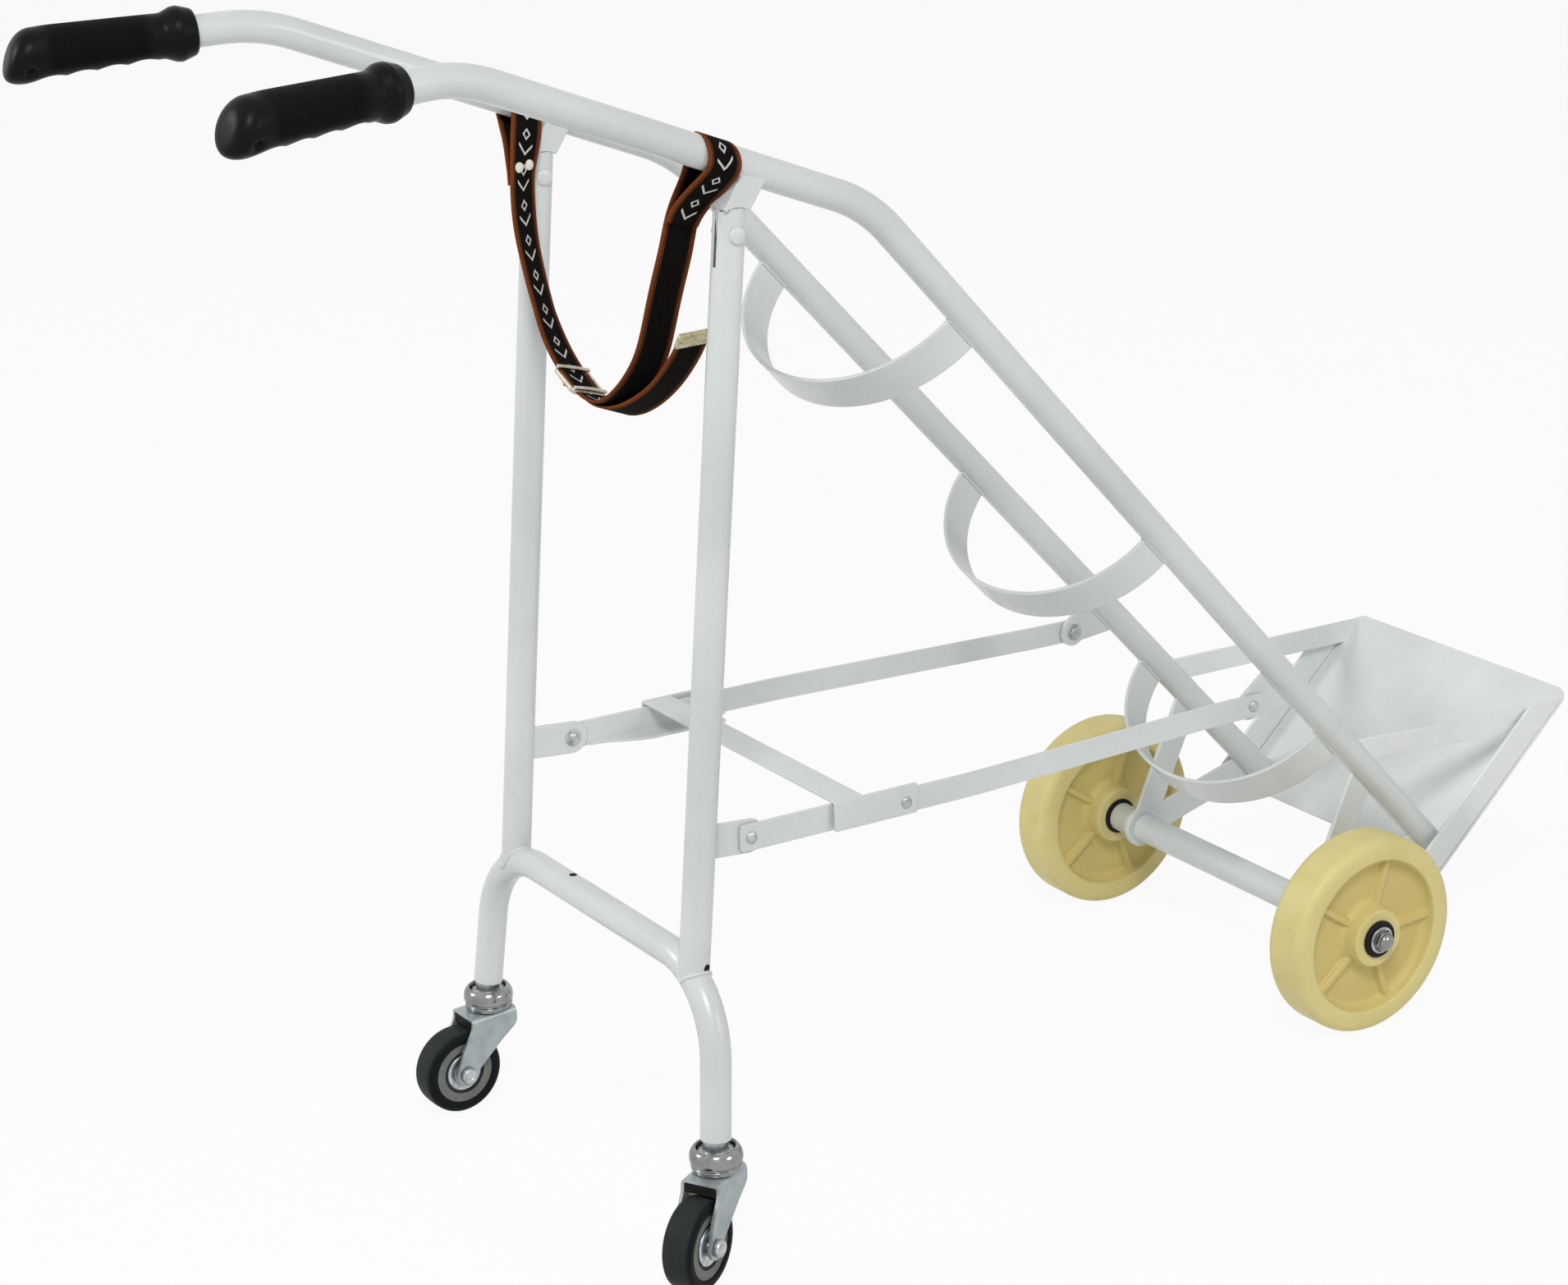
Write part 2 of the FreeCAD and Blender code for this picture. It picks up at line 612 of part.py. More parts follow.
def round_disc(radius, half_width, corner):
    """Disc about local Z with rounded outer edges."""
    disc = cylinder_z(radius, -half_width, half_width)
    return disc.makeFillet(corner, [edge for edge in disc.Edges if edge.Closed])


wheel = round_disc(wheel_radius, half_rim, tread_round)
wheel = wheel.cut(cylinder_z(well_radius, half_web, half_hub))
wheel = wheel.cut(cylinder_z(well_radius, -half_hub, -half_web))
wheel = wheel.fuse(cylinder_z(hub_radius, -half_hub, half_hub))
rib_half = half_rim - rib_recess
for index in range(rib_count):
    rib = Part.makeBox(well_radius + rib_thick - bush_radius, rib_thick, 2 * rib_half,
                       Vec(bush_radius, -rib_thick / 2, -rib_half))
    rib.rotate(Vec(0, 0, 0), Vec(0, 0, 1), 360 * index / rib_count)
    wheel = wheel.fuse(rib)
wheel = wheel.removeSplitter().cut(cylinder_z(bush_radius, -hub_width, hub_width))
wheel_frame = frame_at(Vec(axle_x, wheel_half, wheel_radius), Vec(1, 0, 0), Vec(0, 1, 0))
save_pair("wheel", placed(wheel, wheel_frame))

# Bushes pressed into both ends of each hub
bush_bore = axle_radius + running_clearance
bush_inner = half_hub - bush_length
flange_face = half_hub + bush_flange_thick
bush = turned([(bush_bore, bush_inner), (bush_radius, bush_inner), (bush_radius, half_hub),
               (bush_flange_radius, half_hub), (bush_flange_radius, flange_face), (bush_bore, flange_face)])
bushes = Part.makeCompound([bush, bush.mirror(Vec(0, 0, 0), Vec(0, 0, 1))])
save_pair("wheel_bushes", placed(bushes, wheel_frame))

# Caster wheels: rubber tyre on a hub with a metal cap sunk into each face
hub_ring = caster_radius - tyre_depth
half_tyre = caster_width / 2
tyre = round_disc(caster_radius, half_tyre, caster_round).cut(cylinder_z(hub_ring, -half_tyre, half_tyre))
half_core = half_tyre - hub_recess
cap_floor = half_core - cap_thick
bolt_bore = cylinder_z(caster_bolt_radius + running_clearance, -half_tyre, half_tyre)
hub = cylinder_z(hub_ring, -half_core, half_core)
hub = hub.cut(cylinder_z(cap_radius + cap_groove, cap_floor, half_core))
hub = hub.cut(cylinder_z(cap_radius + cap_groove, -half_core, -cap_floor)).cut(bolt_bore)
cap = cylinder_z(cap_radius, cap_floor, half_core).cut(bolt_bore)
caps = Part.makeCompound([cap, cap.mirror(Vec(0, 0, 0), Vec(0, 0, 1))])
rolling_frame = frame_at(Vec(-caster_trail, 0, caster_radius), Vec(1, 0, 0), Vec(0, 1, 0))

# Caster forks: top plate and two legs that narrow to the axle bolt, around the stem axis on local Z
fork_inner = half_tyre + fork_gap
fork_half = fork_inner + fork_thick
fork_side = [Vec(-fork_back, -fork_half, fork_top), Vec(fork_front, -fork_half, fork_top),
             Vec(fork_front, -fork_half, fork_top - fork_shoulder),
             Vec(fork_eye_radius - caster_trail, -fork_half, caster_radius),
             Vec(-fork_eye_radius - caster_trail, -fork_half, caster_radius)]
fork = prism(fork_side, Vec(0, 2 * fork_half, 0))
fork_eye = cylinder_y(-caster_trail, caster_radius, fork_eye_radius, -fork_half, fork_half)
fork = fork.fuse(fork_eye).removeSplitter()
fork = fork.cut(Part.makeBox(4 * caster_radius, 2 * fork_inner, fork_top - fork_thick,
                             Vec(-2 * caster_radius, -fork_inner, 0)))
caster_bolt = cylinder_y(-caster_trail, caster_radius, caster_bolt_radius, -fork_half, fork_half)
fork = fork.cut(caster_bolt).cut(cylinder_z(kingpin_radius + running_clearance, 0, fork_top))

# Caster bolts with a head and a nut outside the fork
for y_low in (fork_half, -fork_half - caster_bolt_head):
    caster_bolt = caster_bolt.fuse(cylinder_y(-caster_trail, caster_radius, caster_bolt_head_radius,
                                              y_low, y_low + caster_bolt_head))

# Caster stems: bearing cup open at the top, kingpin riveted under the fork, plug inside the bridge tube
kingpin_low = fork_top - fork_thick - kingpin_play
cup = turned([(0, cup_low), (cup_radius, cup_low), (cup_radius, cup_low + cup_band),
              (cup_mouth_radius + cup_lip, cup_high), (cup_mouth_radius, cup_high),
              (cup_mouth_radius, cup_floor), (0, cup_floor)])
cup = cup.fuse(cylinder_z(kingpin_radius, kingpin_low, cup_low))
cup = cup.fuse(cylinder_z(kingpin_head_radius, kingpin_low - kingpin_head, kingpin_low))
plug_radius = bridge_od / 2 - bridge_wall - plug_clearance

for side, name, heading in ((1, "far", caster_far_heading), (-1, "near", caster_near_heading)):
    tube_mouth = leg_frame.multVec(Vec(0, side * caster_half, -tube_end))
    tube_dir = (leg_frame.multVec(Vec(0, side * corner_half, -leg_length)) - tube_mouth).normalize()
    plug_base = tube_mouth - tube_dir * ((tube_mouth.z - cup_floor + bridge_wall) / tube_dir.z)
    plug = Part.makeCylinder(plug_radius, plug_length, plug_base, tube_dir)
    spot = FreeCAD.Placement(Vec(tube_mouth.x, tube_mouth.y, 0), FreeCAD.Rotation())
    swivel = spot.multiply(FreeCAD.Placement(Vec(0, 0, 0), FreeCAD.Rotation(Vec(0, 0, 1), heading)))
    rolling = swivel.multiply(rolling_frame)
    save(f"caster_stem_{name}", placed(cup, spot).fuse(plug))
    save(f"caster_fork_{name}", placed(fork, swivel))
    save(f"caster_bolt_{name}", placed(caster_bolt, swivel))
    save(f"caster_tyre_{name}", placed(tyre, rolling))
    save(f"caster_hub_{name}", placed(hub, rolling))
    save(f"caster_caps_{name}", placed(caps, rolling))

# Strap: loops round both rails, and a band in a cross plane drawn along the rails' upper run
loop_axis = (knee - bend).normalize()
loop_place = bend + loop_axis * (strap_from_bend / loop_axis.dot(upper_run))
loop_up = Vec(upper_run.z, 0, -upper_run.x)
loop_base = loop_place - loop_axis * (strap_width / 2) - loop_up * (strap_ease - strap_rest)
loop_radius = rail_od / 2 + strap_ease
loop_core = Part.makeCylinder(loop_radius, 3 * strap_width, loop_base - loop_axis * strap_width, loop_axis)
loop = Part.makeCylinder(loop_radius + strap_thick, strap_width, loop_base, loop_axis).cut(loop_core)
band_back = loop_up.x * (loop_radius + strap_thick)
band_middle = Vec(loop_place.x, 0, loop_place.z) + upper_run * (band_back / -upper_run.x)
band_base = band_middle - upper_run * (strap_width / 2)


def band_point(station):
    return band_base + Vec(0, station[0], station[1])


def drawn(face):
    """Cross-plane face drawn over the strap's width."""
    return face.extrude(upper_run * strap_width)


def ribbon(points):
    """Webbing of one thickness along a route in the cross plane, which is its outer face."""
    return drawn(bent_wire(points, strap_bend_radius).makeOffset2D(strap_thick, 0, True, True))


strap_stations = strap_far_route + strap_near_route
band = ribbon([band_point(station) for station in strap_stations]).cut(loop_core).cut(mirrored(loop_core))
save("strap_band", band.fuse(loop).fuse(mirrored(loop)).removeSplitter())

# Loose tail, running out of the buckle below the band
buckle_corner = band_point(strap_far_route[-1])
buckle_run = band_point(strap_near_route[0]) - buckle_corner
buckle_dir = Vec(buckle_run).normalize()
outward = Vec(0, -buckle_dir.z, buckle_dir.y)
tail_shift = outward * (strap_thick + tail_gap)
buckle_start = buckle_corner + buckle_dir * buckle_offset
tail_points = [buckle_start + tail_shift, buckle_corner + buckle_run + tail_shift]
tail_points = tail_points + [band_point(station) for station in tail_route]
save("strap_tail", ribbon(tail_points))

# Slider buckle round the band and the tail
hole_inner = strap_thick + buckle_clearance
hole_outer = strap_thick + tail_gap + buckle_clearance


def buckle_block(wall):
    """Block over the buckle's length, grown by a wall beyond the webbing's space."""
    corner = buckle_start - outward * (hole_inner + wall) - upper_run * (buckle_clearance + wall)
    across = outward * (hole_inner + hole_outer + 2 * wall)
    along = buckle_dir * buckle_length
    return prism([corner, corner + along, corner + along + across, corner + across],
                 upper_run * (strap_width + 2 * buckle_clearance + 2 * wall))


save("strap_buckle", buckle_block(buckle_wall).cut(buckle_block(0)))

# Metal tip on the tail's end
tail_end = tail_points[-1]
tail_dir = (tail_end - tail_points[-2]).normalize()
tail_out = Vec(0, -tail_dir.z, tail_dir.y)
tip_corner = tail_end + tail_out * ((tip_thick - strap_thick) / 2)
tip_across = tail_out * -tip_thick
tip_along = tail_dir * tip_length
save("strap_tip", prism([tip_corner, tip_corner + tip_along, tip_corner + tip_along + tip_across,
                         tip_corner + tip_across], upper_run * strap_width))

# Two rivets through the far upright run of the band
rivets = []
for step in (-1, 1):
    spot = band_middle + upper_run * (step * strap_rivet_spacing / 2) + Vec(0, 0, strap_rivet_level)
    face_y = strap_far_route[1][0] - strap_thick
    rivets.append(dome_y(spot.x, spot.z, strap_rivet_radius, face_y, -strap_rivet_height))
save("strap_rivets", Part.makeCompound(rivets))
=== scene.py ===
import math

import bpy
import numpy as np
from mathutils import Matrix


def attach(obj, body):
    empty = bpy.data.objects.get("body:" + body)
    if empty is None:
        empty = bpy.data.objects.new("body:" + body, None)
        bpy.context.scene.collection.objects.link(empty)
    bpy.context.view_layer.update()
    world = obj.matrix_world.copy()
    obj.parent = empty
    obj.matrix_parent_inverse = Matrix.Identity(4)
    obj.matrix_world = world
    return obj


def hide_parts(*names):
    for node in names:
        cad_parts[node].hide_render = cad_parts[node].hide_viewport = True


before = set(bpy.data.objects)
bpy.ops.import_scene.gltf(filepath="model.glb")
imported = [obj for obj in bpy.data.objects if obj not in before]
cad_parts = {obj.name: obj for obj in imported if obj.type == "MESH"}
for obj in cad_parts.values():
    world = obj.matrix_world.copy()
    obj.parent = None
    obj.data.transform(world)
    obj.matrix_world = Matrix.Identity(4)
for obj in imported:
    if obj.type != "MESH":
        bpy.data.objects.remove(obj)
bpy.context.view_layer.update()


# Side rails: steel tube, 22 mm across, bent cold at the knee and at the shoulder.
# Each stands square on the tray. They are powder coated white together with all that is
# welded to them, so one paint finish serves the frame, with a lighter copy of it on the tray as painted
# light. Sizes are in millimetres.
RAIL_RADIUS = 11.0
RAIL_WALL = 1.5
RAIL_BEND = 120.0
KNEE = np.array([-403.5, 142.0, 853.0])
SHOULDER = np.array([-95.0, 122.0, 719.0])
FOOT = np.array([443.5, 106.0, 96.0])
HANDLE_RUN = 152.0
HANDLE_SPLAY = math.radians(9.9)
HANDLE_DROP = math.radians(1.0)
PAINT = (217, 222, 221)
PAINT_CLOUD = (206, 211, 210)
PAINT_GRIME = (184, 183, 175)
SIDES = (("far", 1), ("near", -1))
WORLD_Y = np.array([0.0, 1.0, 0.0])
SHARP_ANGLE = math.radians(35)


def unit(vector):
    """A vector, or each row of an array of them, brought to length 1."""
    vector = np.asarray(vector, float)
    return vector / np.linalg.norm(vector, axis=-1, keepdims=True)


def bent(points, radii, turn=7.5, closed=False, guard=0.0):
    """Straight runs through points with a tangent arc at each corner.

    An arc of radius r through a turn a starts r tan(a / 2) before its corner and is
    start + r sin(f) entry + r (1 - cos(f)) inward for f from 0 to a.
    Guard points beside an arc keep the runs that meet it flat.
    """
    points = np.asarray(points, float)
    count = len(points)
    radii = np.broadcast_to(np.asarray(radii, float), (count,))
    parts = [] if closed else [points[:1]]
    for corner in range(count) if closed else range(1, count - 1):
        here = points[corner]
        entry = unit(here - points[corner - 1])
        leave = unit(points[(corner + 1) % count] - here)
        angle = math.acos(np.clip(entry @ leave, -1, 1))
        if radii[corner] <= 0 or angle < 1e-4:
            parts.append(here[None])
            continue
        start = here - entry * radii[corner] * math.tan(angle / 2)
        inward = unit(leave - entry * math.cos(angle))
        sweep = np.linspace(0, angle, max(2, math.ceil(math.degrees(angle) / turn)) + 1)[:, None]
        curve = start + radii[corner] * (np.sin(sweep) * entry + (1 - np.cos(sweep)) * inward)
        if guard:
            curve = np.concatenate([(start - entry * guard)[None], curve, (curve[-1] + leave * guard)[None]])
        parts.append(curve)
    if not closed:
        parts.append(points[-1:])
    return np.concatenate(parts)


def grid_quads(rows, columns, wrap_rows=False):
    """Quads of a grid numbered row by row; its columns close on themselves, its rows where asked."""
    row = np.arange(rows if wrap_rows else rows - 1)[:, None]
    column = np.arange(columns)[None]
    here, below = row * columns, (row + 1) % rows * columns
    beside = (column + 1) % columns
    corners = np.broadcast_arrays(here + column, here + beside, below + beside, below + column)
    return np.stack(corners, axis=-1).reshape(-1, 4)


def along_path(path, across, closed=False):
    """Side and up vectors along a path: side is what of across is square to the path, up = path x side."""
    if closed:
        steps = unit(np.roll(path, -1, 0) - path)
        tangent = unit(steps + np.roll(steps, 1, 0))
    else:
        steps = unit(np.diff(path, axis=0))
        tangent = unit(np.concatenate([steps[:1], steps[1:] + steps[:-1], steps[-1:]]))
    side = unit(across - tangent * np.sum(tangent * across, axis=1, keepdims=True))
    return side, np.cross(tangent, side)


def spokes(around):
    """Cosines and sines of a full turn, as two rows."""
    turn = np.linspace(0, 2 * math.pi, around, endpoint=False)
    return np.cos(turn), np.sin(turn)


def tube(path, radius, wall, across, around=48):
    """A pipe: its outer circle carried along a path, then its bore carried back."""
    side, up = along_path(path, across)
    cosine, sine = spokes(around)
    spoke = cosine[None, :, None] * side[:, None] + sine[None, :, None] * up[:, None]
    points = np.concatenate([path[:, None] + radius * spoke, (path[:, None] + (radius - wall) * spoke)[::-1]])
    return points.reshape(-1, 3), grid_quads(len(points), around, wrap_rows=True), []


def on_side(shape, side):
    """A far-side shape as it is or, where side is -1, mirrored with its faces still outwards."""
    points, quads, caps = shape
    if side > 0:
        return shape
    return points * np.array([1, -1, 1]), quads[:, ::-1], [cap[::-1] for cap in caps]


def piece(name, shapes, body, coat, nodes=(), marks=None):
    """One mesh object from shapes in millimetres, riding on a body and standing for CAD nodes.

    A shape is its points, its quads and its flat caps. Marks are numbers for each point,
    kept as attributes that the finish reads.
    """
    first = np.cumsum([0] + [len(points) for points, _, _ in shapes])
    points = np.concatenate([points for points, _, _ in shapes]) * 0.001
    faces = np.concatenate([quads + start for start, (_, quads, _) in zip(first, shapes)]).tolist()
    faces += [(np.asarray(cap) + start).tolist()
              for start, (_, _, caps) in zip(first, shapes) for cap in caps]
    mesh = bpy.data.meshes.new(name)
    mesh.from_pydata(points.tolist(), [], faces)
    mesh.polygons.foreach_set("use_smooth", np.ones(len(faces), bool))
    mesh.set_sharp_from_angle(angle=SHARP_ANGLE)
    for mark, values in (marks or {}).items():
        attribute = mesh.attributes.new(mark, "FLOAT", "POINT")
        attribute.data.foreach_set("value", np.asarray(values, np.float32).ravel())
    mesh.materials.append(coat)
    made = bpy.data.objects.new(name, mesh)
    bpy.context.scene.collection.objects.link(made)
    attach(made, body)
    if nodes:
        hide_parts(*nodes)
    return made


def painted(name, shapes, nodes=(), body="frame"):
    """A piece in the frame's white paint."""
    piece(name, shapes, body, paint, nodes)


def painted_pair(name, shapes, node, body="frame"):
    """A painted piece on the far side and its mirror image on the near side."""
    for word, side in SIDES:
        painted(f"{name}_{word}", [on_side(shape, side) for shape in shapes], [f"{node}_{word}"], body)


def display(red, green, blue):
    """Linear colour of an 8-bit display colour."""
    value = np.array([red, green, blue]) / 255
    linear = np.where(value <= 0.04045, value / 12.92, ((value + 0.055) / 1.055) ** 2.4)
    return (*linear.tolist(), 1.0)


class Wire:
    """A socket in a material's node tree. Arithmetic on wires adds Math nodes; make adds any other node."""

    def __init__(self, tree, socket=None):
        self.tree = tree
        self.socket = socket

    def make(self, kind, settings, inputs, output=0):
        """A node of a type: its settings come first, then the values or links of its sockets."""
        node = self.tree.nodes.new(kind)
        for key, value in settings.items():
            setattr(node, key, value)
        for key, value in inputs.items():
            if isinstance(value, Wire):
                self.tree.links.new(value.socket, node.inputs[key])
            else:
                node.inputs[key].default_value = value
        return Wire(self.tree, node.outputs[output] if len(node.outputs) else None)

    def maths(self, operation, first, second=0.0):
        return self.make("ShaderNodeMath", {"operation": operation}, {0: first, 1: second})

    def __add__(self, other):
        return self.maths("ADD", self, other)

    def __sub__(self, other):
        return self.maths("SUBTRACT", self, other)

    def __rsub__(self, other):
        return self.maths("SUBTRACT", other, self)

    def __mul__(self, other):
        return self.maths("MULTIPLY", self, other)

    __radd__ = __add__
    __rmul__ = __mul__

    def size(self):
        return self.maths("ABSOLUTE", self)

    def larger(self, other):
        return self.maths("MAXIMUM", self, other)

    def wave(self, period):
        """Sine of a length in units of its period."""
        return self.maths("SINE", self * (2 * math.pi / period))

    def ramp(self, low, high):
        """0 below low, 1 above high and smooth between; the other way round where low is above high."""
        rising = self.make("ShaderNodeMapRange", {"interpolation_type": "SMOOTHSTEP"},
                           {0: self, 1: min(low, high), 2: max(low, high)})
        return rising if low < high else 1 - rising

    def blend(self, start, end):
        """Two colours mixed by this wire's value, each a wire or an 8-bit display colour."""
        start, end = (colour if isinstance(colour, Wire) else display(*colour) for colour in (start, end))
        return self.make("ShaderNodeMix", {"data_type": "RGBA"}, {0: self, 6: start, 7: end}, 2)

    def place(self):
        return self.make("ShaderNodeTexCoord", {}, {}, "Object")

    def noise(self, scale, detail=3.0, vector=None):
        """Noise whose features are about 1 / scale metres wide."""
        vector = vector or self.place()
        return self.make("ShaderNodeTexNoise", {}, {"Vector": vector, "Scale": scale, "Detail": detail})

    def mark(self, name):
        return self.make("ShaderNodeAttribute", {"attribute_name": name}, {}, "Fac")

    def bump(self, height, depth, strength=1.0):
        """Surface normal of a height map that spans depth millimetres."""
        inputs = {"Strength": strength, "Distance": depth * 0.001, "Height": height}
        return self.make("ShaderNodeBump", {}, inputs)


def finish(name, surface):
    """A material whose Principled sockets are what surface gives for its node tree."""
    material = bpy.data.materials.new(name)
    material.use_nodes = True
    material.node_tree.nodes.clear()
    root = Wire(material.node_tree)
    shader = root.make("ShaderNodeBsdfPrincipled", {}, surface(root))
    root.make("ShaderNodeOutputMaterial", {}, {"Surface": shader})
    return material


def powder_coat(root):
    """White powder: fine orange peel, a cloudy tone and a little grime where hands and floors leave it."""
    cloud = root.noise(7.0, 4.0)
    peel = root.noise(520.0, 1.5)
    grime = root.noise(38.0, 6.0).ramp(0.6, 0.78)
    tone = cloud.ramp(0.35, 0.7).blend(PAINT, PAINT_CLOUD)
    tone = (grime * 0.16).blend(tone, PAINT_GRIME)
    return {"Base Color": tone, "Roughness": 0.2 + cloud * 0.12 + grime * 0.15,
            "Normal": root.bump(peel, 0.1, 0.25), "Specular IOR Level": 0.55}


paint = finish("powder_coat", powder_coat)
handle_dir = unit([-math.cos(HANDLE_SPLAY), math.sin(HANDLE_SPLAY), -math.sin(HANDLE_DROP)])
rail_path = bent([KNEE + handle_dir * HANDLE_RUN, KNEE, SHOULDER, FOOT], RAIL_BEND, turn=3.0)
painted_pair("rail_tube", [tube(rail_path, RAIL_RADIUS, RAIL_WALL, WORLD_Y)], "side_rail")


# Hand grips: moulded black rubber, pushed over the rail ends. A flared collar, a body that
# swells to a blunt end, four finger hollows below, and a knurled panel on each flank.
GRIP_START = 44.0
GRIP_LENGTH = 128.0
GRIP_BODY = ((23.0, 113.0), (15.4, 18.0))
GRIP_PROFILE = [(10.9, 0.0), (14.4, 0.0), (15.8, 1.6), (18.7, 10.5), (18.3, 14.5), (15.2, 22.0),
                (18.0, 113.0)]
GRIP_CORNERS = [0.0, 1.0, 1.5, 4.0, 3.0, 9.0, 0.0]
GRIP_END_RADIUS = 18.0
GRIP_DOME = 15.0
GRIP_DOME_BLUNT = 0.52
FINGER_AT = np.array([37.0, 57.67, 78.33, 99.0])
FINGER_RADIUS = 20.0
FINGER_DEPTH = 2.9
FINGER_SOFT = 0.8
FINGER_FROM, FINGER_TO = 20.0, 116.0
NOSE_FROM, NOSE_LENGTH = 92.0, 36.0
NOSE_SLANT, NOSE_CENTRE = 0.38, -3.0
NOSE_DROOP = 1.8
DIMPLE_AT, DIMPLE_LEVEL, DIMPLE_DEPTH, DIMPLE_WIDTH = 113.0, -9.5, 4.5, 2.8
GIRTH_RADIUS = 16.5
WORLD_Z = np.array([0.0, 0.0, 1.0])
RUBBER = (17, 20, 20)
RUBBER_PANEL = (8, 8, 7)
RUBBER_DUST = (30, 33, 32)


def reach_along(path):
    """Distance of each point of a path from its start, measured along it."""
    return np.concatenate([[0], np.cumsum(np.linalg.norm(np.diff(path, axis=0), axis=1))])


def respaced(path, step):
    """The same line with its points step apart."""
    reach = reach_along(path)
    at = np.linspace(0, reach[-1], max(2, math.ceil(reach[-1] / step)) + 1)
    return np.stack([np.interp(at, reach, path[:, axis]) for axis in range(path.shape[1])], axis=1)


def end_caps(rows, columns):
    """Flat caps over the first and the last row of a grid."""
    return [list(range(columns))[::-1], list(range((rows - 1) * columns, rows * columns))]


def grip_surface(around=96):
    """Grip in its own frame, Z along it and Y up: the profile's radius on a full turn.

    Below, Y is held up to the floor of the finger hollows, arcs of one radius, by a soft maximum:
    half of y + floor + root((y - floor)^2 + soft^2). The end slants back above and droops below,
    and a small round dimple is sunk into each flank of it.
    """
    lift = np.linspace(0, math.pi / 2, 26)[1:]
    end = np.stack([np.maximum(GRIP_END_RADIUS * np.cos(lift) ** GRIP_DOME_BLUNT, 0.4),
                    GRIP_LENGTH - GRIP_DOME + GRIP_DOME * np.sin(lift)], axis=1)
    profile = np.concatenate([respaced(bent(GRIP_PROFILE, GRIP_CORNERS), 0.8), end])
    radius, reach = profile[:, :1], profile[:, 1:]
    turn = np.linspace(-0.5 * math.pi, 1.5 * math.pi, around, endpoint=False)[None]
    x, y = radius * np.cos(turn), radius * np.sin(turn)
    body = np.interp(FINGER_AT, *GRIP_BODY)
    span = np.clip(FINGER_RADIUS ** 2 - (reach - FINGER_AT) ** 2, 0, None)
    floor = (np.sqrt(span) - FINGER_RADIUS - body + FINGER_DEPTH).max(axis=1, keepdims=True)
    held = 0.5 * (y + floor + np.sqrt((y - floor) ** 2 + FINGER_SOFT ** 2))
    hollow = (reach > FINGER_FROM) & (reach < FINGER_TO) & (y < 0)
    y = np.where(hollow, np.maximum(held, y), y)
    away = (reach - DIMPLE_AT) ** 2 + (y - DIMPLE_LEVEL) ** 2
    shrink = 1 - DIMPLE_DEPTH * np.exp(-away / DIMPLE_WIDTH ** 2) / GRIP_END_RADIUS
    x, y = x * shrink, y * shrink
    nose = np.clip((reach - NOSE_FROM) / NOSE_LENGTH, 0, 1) ** 1.5
    reach = reach - nose * NOSE_SLANT * (y - NOSE_CENTRE)
    y = y - nose * NOSE_DROOP
    points = np.stack(np.broadcast_arrays(x, y, reach), axis=-1).reshape(-1, 3)
    girth = np.broadcast_to((turn - 0.5 * math.pi) * GIRTH_RADIUS, x.shape)
    marks = {"reach": np.broadcast_to(reach, x.shape), "girth": girth}
    return (points, grid_quads(len(profile), around), end_caps(len(profile), around)), marks


def placed(shape, origin, x_axis, z_axis):
    """A shape in its own frame brought to where its X and Z axes and its origin are."""
    points, quads, caps = shape
    axes = np.stack([x_axis, np.cross(z_axis, x_axis), z_axis])
    return points @ axes + origin, quads, caps


def grip_rubber(root):
    """Black rubber, dull and knurled on the flank panels, smoother and a little dusty at both ends."""
    reach, girth = root.mark("reach"), root.mark("girth")
    flank = girth.size()
    worn = reach + 10 * root.noise(60.0, 4.0)
    panel = worn.ramp(32, 42) * worn.ramp(112, 102) * flank.ramp(40, 34)
    knurl = (reach + girth).wave(3.0) * (reach - girth).wave(3.0)
    dust = root.noise(120.0, 5.0)
    tone = panel.blend(RUBBER, RUBBER_PANEL)
    tone = (dust.ramp(0.56, 0.8) * 0.3).blend(tone, RUBBER_DUST)
    height = panel * knurl + 0.35 * root.noise(900.0, 2.0)
    return {"Base Color": tone, "Roughness": 0.28 + 0.34 * panel + 0.1 * dust,
            "Normal": root.bump(height, 0.35, 0.6), "Specular IOR Level": 0.07}


rubber = finish("grip_rubber", grip_rubber)
grip_side = unit(np.cross(WORLD_Z, handle_dir))
grip, grip_marks = grip_surface()
grip = placed(grip, KNEE + handle_dir * GRIP_START, grip_side, handle_dir)
for word, side in SIDES:
    piece(f"grip_sleeve_{word}", [on_side(grip, side)], "frame", rubber, [f"hand_grip_{word}"],
          grip_marks)


# Leg brackets: tapered steel blocks welded under the rails, hollowed over the swinging leg
# ends, with a tongue that stands in each slotted leg. A domed pin holds the leg on the tongue.
TO_MIDDLE = np.array([1, 0, 1])
UPPER_RUN = unit((KNEE - SHOULDER) * TO_MIDDLE)
BRACKET_FROM, BRACKET_TO = 94.0, 114.0
BRACKET_HALF = 11.0
BRACKET_CORNERS = [1.4, 4, 4, 4, 1.4, 1.4, 1.4]
LEG_PIVOT = np.array([-208.2, 127.0, 719.82])
LEG_TOP_RADIUS = 17.8
SWING = 18.3
TONGUE_HALF_THICK = 2.6
TONGUE_HALF = 8.0
PIN_RADIUS = 6.0
PIN_HEIGHT = 2.6
PIN_SHANK = 4.0
ACROSS_X = np.array([1.0, 0.0, 0.0])


